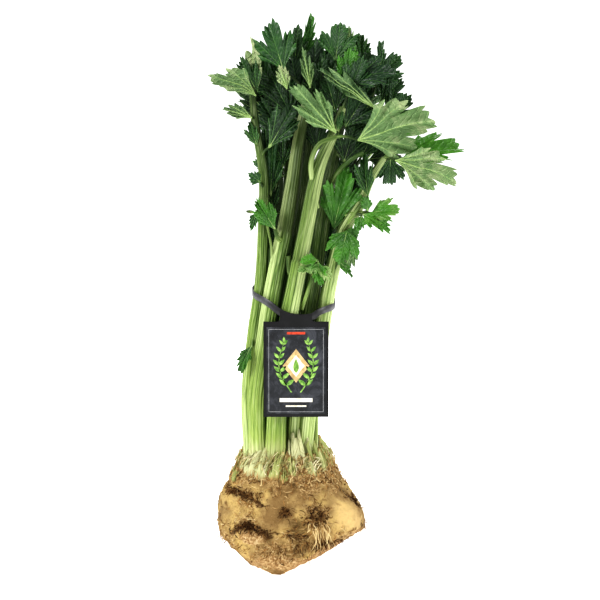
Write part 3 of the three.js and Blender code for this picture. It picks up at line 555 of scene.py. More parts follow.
def add_tube(shell, centres, radii, sides, tint, finish=0):
    """A closed round tube along points. Its place facts are mm round it, mm along it and share."""
    centres = np.asarray(centres, dtype=float)
    tangents = unit(np.gradient(centres, axis=0))
    across = square_to(OFF_AXIS, tangents)
    over = np.cross(tangents, across)
    angle = TURN * np.arange(sides) / sides
    radii = np.broadcast_to(radii, len(centres))
    ring = np.cos(angle)[None, :, None] * across[:, None] + np.sin(angle)[None, :, None] * over[:, None]
    run = run_along(centres)[:, None]
    place = np.stack(np.broadcast_arrays(angle * radii[:, None], run, run / run[-1]), axis=-1)
    add_rings(shell, centres[:, None] + radii[:, None, None] * ring, centres[[0, -1]], place, tint, finish)


def add_sheet(shell, front, back, place, tint, finish=0):
    """A closed thin sheet between two grids of points of one size."""
    rows, columns = front.shape[:2]
    size = rows * columns
    faces = grid_faces(rows, columns)
    rim = np.concatenate([
        np.arange(columns),
        np.arange(1, rows) * columns + columns - 1,
        (rows - 1) * columns + np.arange(columns - 2, -1, -1),
        np.arange(rows - 2, 0, -1) * columns,
    ])
    following = np.roll(rim, -1)
    edge = np.stack([following, rim, rim + size, following + size], axis=-1)
    points = np.concatenate([front.reshape(-1, 3), back.reshape(-1, 3)])
    place = np.tile(np.reshape(place, (-1, 3)), (2, 1))
    shell.add(points, [faces, faces[:, ::-1] + size, edge], place, tint, finish)


# ---------------------------------------------------------------- finishes


def linear(colour):
    """A hex colour as the red, green, blue and alpha that a shader takes."""
    parts = [int(colour[i:i + 2], 16) / 255 for i in (1, 3, 5)]
    return [c / 12.92 if c <= 0.04045 else ((c + 0.055) / 1.055) ** 2.4 for c in parts] + [1.0]


class Finish:
    """One node material: a Principled shader and the nodes that feed it."""

    def __init__(self, name, **settings):
        self.material = bpy.data.materials.new(name)
        self.material.use_nodes = True
        self.tree = self.material.node_tree
        self.shader = self.tree.nodes["Principled BSDF"]
        for socket, value in settings.items():
            self.feed(self.shader.inputs[socket.replace("_", " ")], value)

    def feed(self, socket, value):
        """Links a node's output to a socket, or sets the socket to a constant."""
        if isinstance(value, bpy.types.NodeSocket):
            self.tree.links.new(value, socket)
        else:
            socket.default_value = value

    def node(self, kind, inputs=(), **settings):
        """A new node of a kind, with its sockets fed and its settings set."""
        made = self.tree.nodes.new("ShaderNode" + kind)
        for name, value in settings.items():
            setattr(made, name, value)
        for socket, value in dict(inputs).items():
            self.feed(made.inputs[socket], value)
        return made

    def fact(self, name):
        """The three parts of a fact that the mesh carries."""
        source = self.node("Attribute", attribute_name=name)
        return self.node("SeparateXYZ", {0: source.outputs["Vector"]}).outputs

    def spot(self):
        """The place in the object, in mm."""
        source = self.node("TexCoord").outputs["Object"]
        return self.node("VectorMath", {0: source, 3: 1 / MM}, operation="SCALE").outputs[0]

    def vector(self, x, y, z):
        return self.node("CombineXYZ", {0: x, 1: y, 2: z}).outputs[0]

    def drawn_out(self, across, run, stretch, own=0.0):
        """A place squeezed along its run, over which noise is drawn out in streaks."""
        return self.vector(across, self.sum("MULTIPLY", run, stretch), own)

    def scaled(self, vector, scale):
        return self.node("VectorMath", {0: vector, 1: scale}, operation="MULTIPLY").outputs[0]

    def sum(self, operation, a, b=0.0, c=0.0):
        return self.node("Math", {0: a, 1: b, 2: c}, operation=operation).outputs[0]

    def sway(self, cloud, amount, value):
        """A value pushed up and down by noise, whose middle is 0.5."""
        return self.sum("MULTIPLY_ADD", self.sum("SUBTRACT", cloud, 0.5), amount, value)

    def noise(self, vector, size, detail=3.0, rough=0.55, distort=0.0):
        """Noise whose patches are about size mm apart."""
        inputs = {"Vector": vector, "Scale": 1 / size, "Detail": detail, "Roughness": rough,
                  "Distortion": distort}
        return self.node("TexNoise", inputs).outputs["Fac"]

    def net(self, vector, size):
        """How far each point lies from the threads of a net whose holes are about size mm wide."""
        inputs = {"Vector": vector, "Scale": 1 / size}
        return self.node("TexVoronoi", inputs, feature="DISTANCE_TO_EDGE").outputs["Distance"]

    def span(self, value, low, high, start=0.0, end=1.0):
        """The value from low to high, eased on to start to end."""
        inputs = {"Value": value, "From Min": low, "From Max": high, "To Min": start, "To Max": end}
        return self.node("MapRange", inputs, interpolation_type="SMOOTHSTEP").outputs[0]

    def ramp(self, value, *stops):
        """A colour that follows value through stops of a place and a hex or linear colour."""
        made = self.node("ValToRGB", {"Fac": value})
        band = made.color_ramp.elements
        while len(band) < len(stops):
            band.new(0.5)
        for element, (place, colour) in zip(band, stops):
            element.position = place
            element.color = linear(colour) if isinstance(colour, str) else list(colour)[:3] + [1.0]
        return made.outputs["Color"]

    def mix(self, share, a, b, blend="MIX"):
        """Colour a with a share of colour b."""
        inputs = {0: share, 6: a, 7: b}
        return self.node("Mix", inputs, data_type="RGBA", blend_type=blend).outputs[2]

    def bump(self, height, depth, strength=1.0):
        """Relief on the shader, depth in mm from low to high, over any that it has."""
        made = self.node("Bump", {"Height": height, "Distance": depth * MM, "Strength": strength})
        socket = self.shader.inputs["Normal"]
        if socket.is_linked:
            self.feed(made.inputs["Normal"], socket.links[0].from_socket)
        self.feed(socket, made.outputs[0])

    def coloured(self, colour):
        """Gives the shader its colour, and the finished material back."""
        self.feed(self.shader.inputs["Base Color"], colour)
        return self.material


def colour_of(value):
    """A colour property as the four numbers that a shader takes."""
    return [*value, 1.0]


def root_skin_finish(style):
    """Corky tan skin with ragged dark scars, pale cut flesh and a fibrous crown, and patches of painted
    shade and painted light.
    """
    made = Finish("celeriac_skin", Roughness=0.78, Specular_IOR_Level=0.2)
    spot = made.spot()
    scar, cut, crown = made.fact("tint")
    rough, shade_and_light, _ = made.fact("place")
    broad = made.noise(spot, 26, 3, 0.5, 0.4)
    skin = made.ramp(broad, (0.38, style.skin_shade), (0.48, style.skin), (0.58, style.skin_light))
    clump = made.noise(spot, 6, 5, 0.7, 0.8)
    speck = made.noise(spot, 1.5, 4, 0.75)
    thread = made.noise(made.scaled(spot, (0.5, 0.5, 1.3)), 1.2, 4, 0.7, 1.2)
    cork = made.ramp(thread, (0.36, "#4f3b22"), (0.45, "#8d7048"), (0.54, "#b89b6b"), (0.66, "#dbc79b"))
    skin = made.mix(made.span(made.sway(clump, 3.0, rough), 0.35, 0.95, 0, 0.85), skin, cork)
    skin = made.mix(made.span(clump, 0.5, 0.36, 0, 0.5), skin, linear("#6e5431"))
    skin = made.mix(made.span(speck, 0.57, 0.7, 0, 0.4), skin, linear("#d9c696"))
    skin = made.mix(made.span(speck, 0.43, 0.3, 0, 0.6), skin, linear("#4d3920"))
    # painted shade darkens the skin in patches and painted light pales it in others
    shade_and_light = made.sway(clump, 1.2, shade_and_light)
    skin = made.mix(made.span(shade_and_light, 0.15, 1.0, 0, 0.75), skin, linear("#66512e"))
    skin = made.mix(made.span(shade_and_light, -0.15, -1.0, 0, 0.6), skin, linear("#dcc089"))
    strand = made.noise(made.scaled(spot, (1.0, 1.0, 0.2)), 1.0, 4, 0.7, 0.4)
    fibrous = made.ramp(strand, (0.36, "#6a5230"), (0.47, "#a48c5c"), (0.57, "#c9b98c"), (0.7, "#e2dab8"))
    skin = made.mix(made.sum("MULTIPLY", crown, 0.8), skin, fibrous)
    grain = made.noise(spot, 3.0, 6, 0.75, 0.9)
    flesh = made.ramp(grain, (0.36, "#6b4d2c"), (0.46, "#9c7b50"), (0.55, "#c2a67a"), (0.68, "#dcc8a0"))
    skin = made.mix(cut, skin, flesh)
    ragged = made.sway(clump, 1.6, made.sway(speck, 2.0, scar))
    dark = made.ramp(thread, (0.4, style.scar), (0.49, "#513a22"), (0.56, "#7f6340"), (0.66, "#b3966a"))
    made.bump(clump, 1.0, 0.7)
    made.bump(thread, 0.8, 0.9)
    return made.coloured(made.mix(made.span(ragged, 0.35, 0.8, 0, 0.95), skin, dark))


def string_finish(name, roughness, specular, patch, amount, *stops):
    """Strings and rootlets: each has its own tone, and patches along it are darker or paler."""
    made = Finish(name, Roughness=roughness, Specular_IOR_Level=specular)
    tone = made.fact("tint")[0]
    made.bump(made.noise(made.spot(), 0.8, 2), 0.2, 0.6)
    return made.coloured(made.ramp(made.sway(made.noise(made.spot(), patch, 3), amount, tone), *stops))


def fibre_finish():
    """Dry rootlets and strings, from dark brown to pale tan."""
    return string_finish("celeriac_fibre", 0.8, 0.2, 3, 0.5,
                         (0.0, "#2e1e12"), (0.3, "#5e4124"), (0.6, "#a98552"), (1.0, "#e2cf9f"))


def thread_finish():
    """Soft pale strings that come off the leaf bases."""
    return string_finish("celeriac_thread", 0.6, 0.3, 4, 0.6,
                         (0.0, "#6b6a3a"), (0.35, "#9c9360"), (0.7, "#c5bb8c"), (1.0, "#e0d8b8"))


def husk_finish():
    """Old leaf bases round the crown: cream to green, stringy, browning at foot and torn end."""
    made = Finish("celeriac_husk", Roughness=0.6, Specular_IOR_Level=0.3)
    across, rise, own = made.fact("place")
    tone, dry, _ = made.fact("tint")
    strand = made.noise(made.drawn_out(across, rise, 0.07, own), 0.75, 5, 0.65, 0.3)
    green = made.ramp(tone, (0.0, "#c6c79c"), (0.3, "#a6ab6e"), (0.6, "#788a47"), (1.0, "#48602a"))
    green = made.mix(made.span(strand, 0.54, 0.68, 0, 0.6), green, linear("#d5cfaa"))
    green = made.mix(made.span(strand, 0.48, 0.36, 0, 0.6), green, linear("#6f7440"))
    brown = made.ramp(strand, (0.36, "#3f2b15"), (0.48, "#86633a"), (0.58, "#b39360"), (0.7, "#d9c391"))
    made.bump(strand, 0.6, 0.9)
    return made.coloured(made.mix(made.span(made.sway(strand, 1.6, dry), 0.35, 0.6), green, brown))


def stalk_finish(style):
    """Ribbed stalk: white at the crown, then yellow-green to mid green. Its grooves are darker, partly their
    own green and partly painted shade; its edges and inner face get painted shade, and its sides a painted
    highlight and painted shade as set for each stalk.
    """
    made = Finish("celeriac_stalk", Roughness=0.42, Specular_IOR_Level=0.3)
    # the third fact holds the depth of the grooves together with the painted shade of the edges and inner
    # face
    across, run, groove = made.fact("place")
    rise, upper, painted_light = made.fact("tint")
    streak = made.noise(made.drawn_out(across, run, 0.03), 0.7, 4, 0.6)
    broad = made.noise(made.drawn_out(across, run, 0.012, 9.0), 3.2, 2)
    height = made.sway(broad, 0.12, rise)
    rib = made.ramp(height, (0.0, style.foot), (0.07, style.lower), (0.4, style.middle), (1.0, style.top))
    shade = made.ramp(height, (0.0, "#8f9450"), (0.1, "#4e6b22"), (0.5, "#2b4614"), (1.0, "#16290c"))
    # painted light and shade: a high share mixes in a pale painted highlight, a low one painted shade
    painted_lighting = made.sway(broad, 1.4, painted_light)
    rib = made.mix(made.span(painted_lighting, 0.4, 1.1, 0, 0.85), rib, linear("#bfcd94"))
    rib = made.mix(made.span(painted_lighting, 0.35, -0.4, 0, 0.85), rib, shade)
    rib = made.mix(made.span(streak, 0.5, 0.68, 0, 0.3), rib, linear("#d5deb0"))
    shade = made.mix(made.span(painted_lighting, 0.5, 1.1, 0, 0.6), shade, linear("#7f9450"))
    # darker in the grooves, partly their own deeper green and partly painted shade; painted shade too on the
    # edges and inner face
    colour = made.mix(made.span(groove, 0.2, 0.75, 0, 0.9), rib, shade)
    colour = made.mix(made.span(streak, 0.48, 0.36, 0, 0.6), colour, shade)
    made.bump(streak, 0.2, 0.5)
    return made.coloured(made.mix(made.sum("MULTIPLY", upper, 0.75), colour, linear("#4a5630")))


NET_SIZE = 1.5  # width of a hole in a leaflet's fine net of veins
SLANT = 0.65  # distance square to a slanting side vein over the distance along the midrib


def blade_finish(name, colours, vein_colour, roughness, specular, quilt_and_shade, blotch):
    """A leaflet's skin: side veins branch off its main veins over a fine net, with painted shade in the
    hollows between them.
    """
    made = Finish(name, Roughness=roughness, Specular_IOR_Level=specular)
    spot = made.spot()
    number, gap, share = made.fact("place")
    tone, own, trunk = made.fact("tint")
    own_spot = made.node("VectorMath", {0: spot, 1: made.vector(own, own, own)}).outputs[0]
    cloud = made.noise(own_spot, 11, 4, 0.6, 0.5)
    number = made.sum("MULTIPLY_ADD", made.noise(own_spot, 7, 2), 1.2, number)
    beside = made.sum("ABSOLUTE", made.sum("SUBTRACT", number, made.sum("ROUND", number)))
    off_vein = made.sum("MULTIPLY", beside, made.sum("MULTIPLY", gap, SLANT))
    vein = made.span(off_vein, 0.3, 0.06)
    trunk_width = made.sum("MULTIPLY_ADD", share, -0.35, 0.6)
    main = made.span(made.sum("DIVIDE", trunk, trunk_width), 1.0, 0.35)
    lines = made.sum("MAXIMUM", made.sum("MULTIPLY", vein, 0.4), main)
    net = made.net(spot, NET_SIZE)
    shade = made.sway(cloud, blotch, tone)
    shade = made.sum("MULTIPLY_ADD", made.sum("SUBTRACT", share, 0.6), 0.12, shade)
    colour = made.ramp(shade, *zip(np.linspace(0, 1, len(colours)), colours))
    # painted sheen: a grey-green cast, stronger on some leaflets than others
    colour = made.mix(made.sum("MULTIPLY", own, 0.3), colour, linear("#31503a"))
    hollow = made.span(off_vein, 0.05, 1.0)
    # painted shade: the hollows between the veins are darkened towards grey-green
    hollow_shade = made.sum("MULTIPLY", hollow, made.span(trunk, 0.2, 1.6, 0, quilt_and_shade * 0.4))
    colour = made.mix(hollow_shade, colour, linear("#7d9472"), "MULTIPLY")
    colour = made.mix(made.span(net, 0.12, 0.02, 0, 0.07), colour, vein_colour)
    colour = made.mix(made.sum("MULTIPLY", lines, 0.42), colour, vein_colour)
    made.bump(made.sum("MULTIPLY", hollow, -1.0), quilt_and_shade, 0.8)
    made.bump(net, 0.2, 0.3)
    made.bump(made.noise(spot, 5, 2), 0.8, 0.35)
    return made.coloured(colour)


def vein_finish():
    """The raised ribs under a leaflet."""
    made = Finish("celeriac_vein", Roughness=0.45, Specular_IOR_Level=0.3)
    streak = made.noise(made.spot(), 1.4, 3)
    made.bump(streak, 0.15, 0.5)
    return made.coloured(made.ramp(streak, (0.35, "#7b9656"), (0.6, "#9cb276")))


# ---------------------------------------------------------------- the bulb

SKIN_COLUMNS = 440
SKIN_ROWS = 124
CAP_ROWS = 22
CAP_START = 0.02  # share of the way out at which the innermost ring of a cap lies
CROWN_DOME = 2.5
CROWN_MIDDLE = (-3.0, 0)
PROFILE_EASE = 3.5  # height over which the corners of the profile are eased
# Broad waves of the skin: size, number round the bulb, height for a turn of one radian, and phase.
BULB_WAVES = ((1.4, 3, 19, 0), (1.1, 5, -13, 1))
SCAR_WANDER = 1.4  # how far the edge of a scar wanders
KNOB_WANDER = 0.12  # the share of that by which a knob's edge does
KNOB_EDGE = 9  # radii from a knob past which nothing of it is left
CUT_EDGE = (0.004, 0.03)  # share cut away at which a cut face begins and is whole
BOSS_EDGE = 0.25
BOSS_RAGGED = 0.15
CROWN_EDGE = (82, 96)  # heights at which the skin starts to be fibrous and is so all over
CROWN_RAGGED = 5
CRUST_EDGE = (60, 84)  # heights at which the skin starts to be crusty and is so all over
CRUST_RAGGED = 9
TOP_CRUST = 0.9
LUMP_RISE = 0.9
KNOBBLE_RISE = 0.4
FINE_RISE = 0.2
CRUST_FINE_RISE = 0.5
CROWN_FINE_RISE = 0.8
RIDGE_TOP = 0.9
RIDGE_DROP = 2.2
TORN_RISE = 0.88
TORN_DROP = 0.08
GRIME_EDGE = (0.4, 1.0)
GRIME_DARK = 0.45
# Noise in the relief of the skin: how it is squeezed along x, y and z, the size of its largest
# bumps, its octaves and its seed.
RELIEF = {
    "boss_edge": (1, 4, 2, 91),
    "crust_edge": (1, 12, 3, 62),
    "lumps": (1, 17, 3, 11),
    "knobbles": (1, 6, 3, 21),
    "fine": (1, 2.0, 2, 31),
    "ridges": ((0.6, 0.6, 1.5), 4.5, 3, 41),
    "torn": ((1, 1, 2.2), 4.5, 4, 51),
    "grime": (1, 9, 3, 71),
}
# Dark scars and creases: points as compass angle and height, width, depth, and darkness.
SCARS = [
    ([(-164, 67), (-150, 69), (-139, 69), (-128, 66), (-114, 61)], 2.2, 2.2, 1.0),
    ([(-101, 40), (-95, 39), (-88, 36), (-79, 33)], 2.6, 2.0, 0.7),
    ([(-141, 34), (-134, 41), (-124, 43.5), (-114, 42), (-107, 36)], 2.6, 1.6, 1.0),
    ([(-62, 30), (-50, 27), (-36, 26), (-19, 28)], 2.6, 1.8, 0.8),
    ([(-25, 65), (-22, 60), (-20, 54)], 2.8, 1.0, 1.0),
    ([(-118, 75), (-100, 73), (-84, 74), (-66, 71), (-48, 72)], 1.5, 1.0, 0.25),
    ([(-112, 82), (-92, 80), (-70, 80), (-46, 80)], 1.6, 1.0, 0.35),
    ([(-172, 58), (-160, 54), (-148, 55)], 1.4, 0.9, 0.3),
    ([(-44, 66), (-30, 70), (-12, 68)], 1.5, 1.0, 0.3),
    ([(8, 60), (24, 57), (42, 60), (58, 55)], 2.0, 1.6, 0.6),
    ([(84, 74), (102, 72), (122, 75), (140, 72)], 1.8, 1.4, 0.5),
    ([(100, 30), (116, 27), (134, 30)], 2.2, 1.6, 0.8),
    ([(166, 74), (180, 71), (196, 74)], 1.8, 1.2, 0.5),
    ([(10, 76), (32, 79), (52, 76)], 1.6, 1.1, 0.4),
    ([(150, 44), (164, 40), (178, 43)], 2.2, 1.6, 0.7),
]
# Knobs and pits: compass angle, height, radius, rise and darkness.
KNOBS = [
    (-94, 57, 4.2, -1.4, 0.8), (-102, 46, 3.4, 1.2, 0.45), (-69, 54, 8.5, 2.0, 0.7),
    (-74, 82, 2.6, -1.0, 0.5), (-122, 81, 3.4, -1.0, 0.5), (-44, 79, 2.8, -1.0, 0.5),
    (-57, 34, 5.0, 1.6, 0.3), (-60, 60, 3.0, 1.0, 0.3), (-20, 40, 3.4, -1.2, 0.6),
    (-160, 46, 3.2, -1.0, 0.5), (24, 46, 6.0, 1.8, 0.5), (58, 66, 3.0, -1.2, 0.7),
    (96, 50, 4.2, -1.4, 0.8), (118, 52, 6.5, 2.2, 0.6), (142, 62, 3.0, -1.0, 0.6),
    (172, 34, 4.0, 1.5, 0.4), (76, 38, 3.4, 1.4, 0.4), (-84, 47, 7.5, -1.0, 0.5),
    (-80, 37, 6.5, -1.2, 0.55),
]
# Cut-off side roots, pale and flat: compass angle, height, half width and half height.
BOSSES = [(-122, 34, 12, 6.5), (-99, 13, 24, 8), (122, 38, 8, 6), (18, 28, 7, 5)]
# Painted shade and, below zero, painted light on the skin: compass angle, height, spread and strength.
SHADE_AND_LIGHT_PATCHES = [
    (-84, 46, 7, 1.0), (-80, 34, 9, 0.6), (-66, 66, 12, 0.3), (-116, 30, 8, 0.3), (-40, 52, 14, -1.0),
    (-30, 40, 9, -0.8), (-104, 62, 10, -0.3), (-160, 55, 14, 0.3), (60, 60, 16, -0.5), (150, 50, 16, -0.5),
    (110, 34, 14, 0.5), (-175, 70, 12, 0.4),
]
# Crusty patches: compass angle, height and spread.
CRUSTS = [
    (-130, 65, 13), (-69, 53, 12), (-126, 45, 12), (-86, 32, 13), (-45, 30, 12), (-104, 20, 16),
    (-20, 62, 8), (30, 50, 14), (110, 46, 18), (170, 50, 14), (70, 70, 14), (-150, 30, 14),
]


def smooth_step(value, low, high):
    share = np.clip((value - low) / (high - low), 0, 1)
    return share * share * (3 - 2 * share)


def turn_between(angle, compass):
    """How far an angle in radians lies from a compass angle in degrees, the short way."""
    off = angle - math.radians(compass)
    return np.arctan2(np.sin(off), np.cos(off))


def bulb_reach(height, column):
    """How far the bulb reaches at a height, with the corners of its profile eased."""
    read = lambda z: np.interp(z, BULB_PROFILE[:, 0], BULB_PROFILE[:, column])
    return (read(height - PROFILE_EASE) + 2 * read(height) + read(height + PROFILE_EASE)) / 4


def bulb_skin(angle, height, grow=0.0):
    """Points of the smooth skin at angles in radians and heights in mm, before the cuts."""
    c, s = np.cos(angle), np.sin(angle)
    reach_x = np.where(c < 0, bulb_reach(height, 1), bulb_reach(height, 2))
    reach_y = np.where(s < 0, bulb_reach(height, 3), bulb_reach(height, 4))
    out = sum(size * np.sin(waves * angle + height / pitch + phase)
              for size, waves, pitch, phase in BULB_WAVES)
    for compass, level, spread, rise in BULB_SWELLINGS:
        distance = np.hypot(turn_between(angle, compass) * BULB_GIRTH, height - level) / spread
        out = out + rise * np.exp(-distance * distance)
    out = out + grow
    return np.stack([(reach_x + out) * c, (reach_y + out) * s, height + 0 * angle], axis=-1)


def trim(points, margin=0.0):
    """Slides points back to the knife cuts they pass. Returns them and the share cut away."""
    arm = points - BULB_MIDDLE
    kept = np.ones(points.shape[:-1])
    for point, facing in [*BULB_CUTS, ((0, 0, 0), (0, 0, -1))]:
        facing = unit(np.array(facing, dtype=float))
        room = facing @ (np.array(point) - BULB_MIDDLE) - margin
        passed = arm @ facing
        kept = np.minimum(kept, np.where(passed > room, room / np.maximum(passed, 1e-6), 1))
    return BULB_MIDDLE + arm * kept[..., None], 1 - kept


def scar_field(angle, height):
    """Depth in mm and darkness of the scars, knobs and pits at places on the skin."""
    depth, dark = np.zeros(angle.shape), np.zeros(angle.shape)
    wander = fractal(np.stack([angle * 9, height / 6, 0 * angle], -1), 1, 2, 5) * SCAR_WANDER
    for line, width, low, shade in SCARS:
        nearest = np.full(angle.shape, np.inf)
        for (c0, z0), (c1, z1) in zip(line, line[1:]):
            x, z = turn_between(angle, c0) * BULB_GIRTH, height - z0
            dx, dz = math.radians(c1 - c0) * BULB_GIRTH, z1 - z0
            t = np.clip((x * dx + z * dz) / (dx * dx + dz * dz), 0, 1)
            nearest = np.minimum(nearest, np.hypot(x - t * dx, z - t * dz))
        near = np.exp(-(np.maximum(nearest + wander, 0) / width) ** 2)
        depth -= low * near
        dark = np.maximum(dark, shade * near)
    for compass, level, radius, rise, shade in KNOBS:
        off = np.hypot(turn_between(angle, compass) * BULB_GIRTH, height - level) / radius
        off = np.clip(off + wander * KNOB_WANDER, 0, KNOB_EDGE)
        depth += rise * np.exp(-off ** 3)
        dark = np.maximum(dark, shade * np.exp(-off ** 4))
    return depth, dark


def bulb_surface():
    """The detailed bulb: points from foot to crown, with their masks, crust and painted shade and light."""
    angle = TURN * np.arange(SKIN_COLUMNS) / SKIN_COLUMNS
    low, high = BULB_PROFILE[0, 0], BULB_PROFILE[-1, 0]
    heights = np.linspace(low, high, SKIN_ROWS)
    shares = np.linspace(CAP_START, 1, CAP_ROWS, endpoint=False)
    grid_angle, grid_height = np.meshgrid(angle, heights)
    skin = bulb_skin(grid_angle, grid_height)
    foot, summit = np.array([0, 0, low]), np.array([*CROWN_MIDDLE, high])
    under = foot + (skin[0] - foot) * shares[:, None, None]
    over = summit + (skin[-1] - summit) * shares[::-1, None, None]
    over[..., 2] += CROWN_DOME * np.sqrt(1 - shares[::-1, None] ** 2)
    points = np.concatenate([under, skin, over])
    turn = np.broadcast_to(angle, points.shape[:2])
    level = points[..., 2]

    trimmed, lost = trim(points)
    noise = {name: fractal(trimmed * squeeze, *rest) for name, (squeeze, *rest) in RELIEF.items()}
    cut = smooth_step(lost, *CUT_EDGE)
    scar, dark = scar_field(turn, level)
    off = lambda compass: turn_between(turn, compass) * BULB_GIRTH
    patch = lambda compass, height, spread: np.exp(-(np.hypot(off(compass), level - height) / spread) ** 2)
    boss = np.zeros(level.shape)
    for compass, height, wide, tall in BOSSES:
        inside = 1 - np.hypot(off(compass) / wide, (level - height) / tall)
        boss = np.maximum(boss, smooth_step(inside + BOSS_RAGGED * noise["boss_edge"], 0, BOSS_EDGE))
    crust = TOP_CRUST * smooth_step(level + CRUST_RAGGED * noise["crust_edge"], *CRUST_EDGE)
    for row in CRUSTS:
        crust = np.maximum(crust, patch(*row))

    lumps = noise["lumps"] * LUMP_RISE + np.abs(noise["knobbles"]) * KNOBBLE_RISE
    ridges = RIDGE_TOP - RIDGE_DROP * np.abs(noise["ridges"])
    crown = smooth_step(level + CROWN_RAGGED * lattice_noise(trimmed / 5, 61), *CROWN_EDGE)
    whole = (1 - cut) * (1 - 0.8 * boss)
    lift = lumps + FINE_RISE * noise["fine"] + scar + crust * (ridges + CRUST_FINE_RISE * noise["fine"])
    lift = whole * lift + (1 - whole) * (TORN_RISE * noise["torn"] - TORN_DROP)
    lift += CROWN_FINE_RISE * crown * noise["fine"]
    shaped = trimmed + unit(trimmed - BULB_MIDDLE) * lift[..., None]
    shaped[..., 2] = np.maximum(shaped[..., 2], 0)
    grime = smooth_step(noise["grime"], *GRIME_EDGE) * GRIME_DARK
    dark = np.maximum(dark * (1 - cut) * (1 - boss), grime * smooth_step(crust, 0, 0.5))
    masks = np.stack([np.clip(dark, 0, 1), np.maximum(cut, boss), crown], axis=-1)
    shade_and_light = sum(strength * patch(*spot) for *spot, strength in SHADE_AND_LIGHT_PATCHES)
    return shaped, masks, crust, shade_and_light


SHREDS = 1900  # fibres and flakes that lie on the crusty parts of the skin
SHRED_STEPS = 6
SHRED_LENGTHS = (4, 11)  # in steps of the skin's grid
SHRED_CURL = 1.3
SHRED_LIFTS = (0.1, 1.1)
SHRED_RADII = (0.2, 0.42)
SHRED_TONE = 0.62
SHRED_LOW = 0.5  # how far above the ground they stay


def read_between(grid, row, column):
    """Reads a grid that wraps across its columns at places between its points."""
    rows, columns = grid.shape[:2]
    row, column = np.clip(row, 0, rows - 1.001), column % columns
    r, c = row.astype(int), column.astype(int) % columns
    beside = (c + 1) % columns
    up, on = (row - r)[..., None], (column - c)[..., None]
    lower = grid[r, c] * (1 - on) + grid[r, beside] * on
    upper = grid[r + 1, c] * (1 - on) + grid[r + 1, beside] * on
    return lower * (1 - up) + upper * up


def lay_shreds(points, masks, crust, style):
    """Short curled fibres that lie on the skin, thickest in its scars and crusts."""
    random = np.random.default_rng(29)
    columns = crust.shape[1]
    weight = 0.05 + crust ** 2 + 1.6 * masks[..., 0]
    weight[:CAP_ROWS] = 0
    weight[CAP_ROWS + SKIN_ROWS:] *= 0.3
    weight *= 1 - 0.6 * masks[..., 1]
    starts = random.choice(weight.size, SHREDS, p=weight.ravel() / weight.sum())
    row, column = np.divmod(starts, columns)
    t = np.linspace(0, 1, SHRED_STEPS)
    way = random.uniform(0, TURN, SHREDS)[:, None] + random.normal(size=SHREDS)[:, None] * SHRED_CURL * t
    stride = random.uniform(*SHRED_LENGTHS, SHREDS)[:, None] / SHRED_STEPS * style.rootlet_length
    along = row[:, None] + np.cumsum(np.sin(way) * 0.7, axis=1) * stride
    across = column[:, None] + np.cumsum(np.cos(way), axis=1) * stride
    spine = read_between(points, along, across)
    hump = random.uniform(*SHRED_LIFTS, SHREDS)[:, None] * np.sin(math.pi * t)
    spine = spine + unit(spine - BULB_MIDDLE) * hump[..., None]
    spine[..., 2] = np.maximum(spine[..., 2], SHRED_LOW)
    scar = masks[row, column, 0]
    tones = np.clip(SHRED_TONE - 0.45 * scar + random.normal(size=SHREDS) * 0.2, 0, 1)
    radii = random.uniform(*SHRED_RADII, SHREDS)[:, None] * (0.25 + 0.75 * np.sin(math.pi * t) ** 0.7)
    shell = Shell()
    for path, radius, tone in zip(spine, radii, tones):
        add_tube(shell, path, radius, FIBRE_SIDES, (tone, 0, 0))
    shell.piece("bulb_shreds", [fibre_finish()], "root_bulb", "root_skin")


def make_bulb(style):
    points, masks, crust, shade_and_light = bulb_surface()
    rows, columns = points.shape[:2]
    ends = np.stack([points[0].mean(0), points[-1].mean(0)])
    shell = Shell()
    tint = np.concatenate([masks.reshape(-1, 3), masks[[0, -1], 0]])
    place = np.zeros((rows * columns + 2, 3))
    # the crust, and the patches of painted shade and light
    place[:-2, 0], place[:-2, 1] = crust.ravel(), shade_and_light.ravel()
    shell.add(np.concatenate([points.reshape(-1, 3), ends]), tube_faces(rows, columns), place, tint)
    shell.piece("bulb_skin", [root_skin_finish(style)], "root_bulb", "root_skin", crease=75)
    lay_shreds(points, masks, crust, style)


# Tufts of rootlets: compass angle, height, spread across and up, number, length, tone, thickness
# and how far they hang down.
TUFTS = [
    (-69, 55, 6.5, 6.5, 130, 7, 0.32, 0.42, 0.3), (-68, 50, 5, 5, 30, 7, 0.7, 0.42, 0.6),
    (-67, 46, 5, 3, 26, 14, 0.85, 0.5, 2.2), (-94, 57, 3.4, 3.4, 46, 4.5, 0.3, 0.38, 0.2),
    (-125, 43, 9, 2.5, 90, 5, 0.25, 0.4, 0.3), (-110, 40, 4, 3, 30, 5, 0.3, 0.4, 0.5),
    (-126, 68, 9, 3, 80, 6, 0.3, 0.38, 0.4), (-150, 69, 9, 3, 50, 6, 0.35, 0.36, 0.4),
    (-84, 28, 14, 4, 70, 7, 0.3, 0.4, 1.0), (-64, 30, 8, 4, 60, 7, 0.2, 0.4, 1.0),
    (-40, 27, 14, 2.5, 50, 5, 0.25, 0.38, 0.9), (-104, 20, 16, 5, 40, 5, 0.65, 0.4, 0.8),
    (-140, 26, 14, 5, 30, 5, 0.5, 0.36, 0.9), (-20, 60, 3, 5, 26, 5, 0.15, 0.36, 0.3),
    (24, 46, 6, 5, 50, 10, 0.4, 0.4, 1.0), (118, 50, 7, 6, 70, 9, 0.35, 0.4, 0.8),
    (96, 50, 4, 3, 24, 6, 0.2, 0.36, 0.3), (170, 36, 8, 5, 30, 8, 0.45, 0.38, 0.9),
    (60, 24, 18, 5, 36, 7, 0.5, 0.38, 1.0), (130, 22, 18, 5, 36, 7, 0.45, 0.38, 1.0),
    (-172, 26, 12, 5, 30, 7, 0.5, 0.38, 1.0), (0, 34, 10, 5, 26, 7, 0.55, 0.38, 0.9),
]
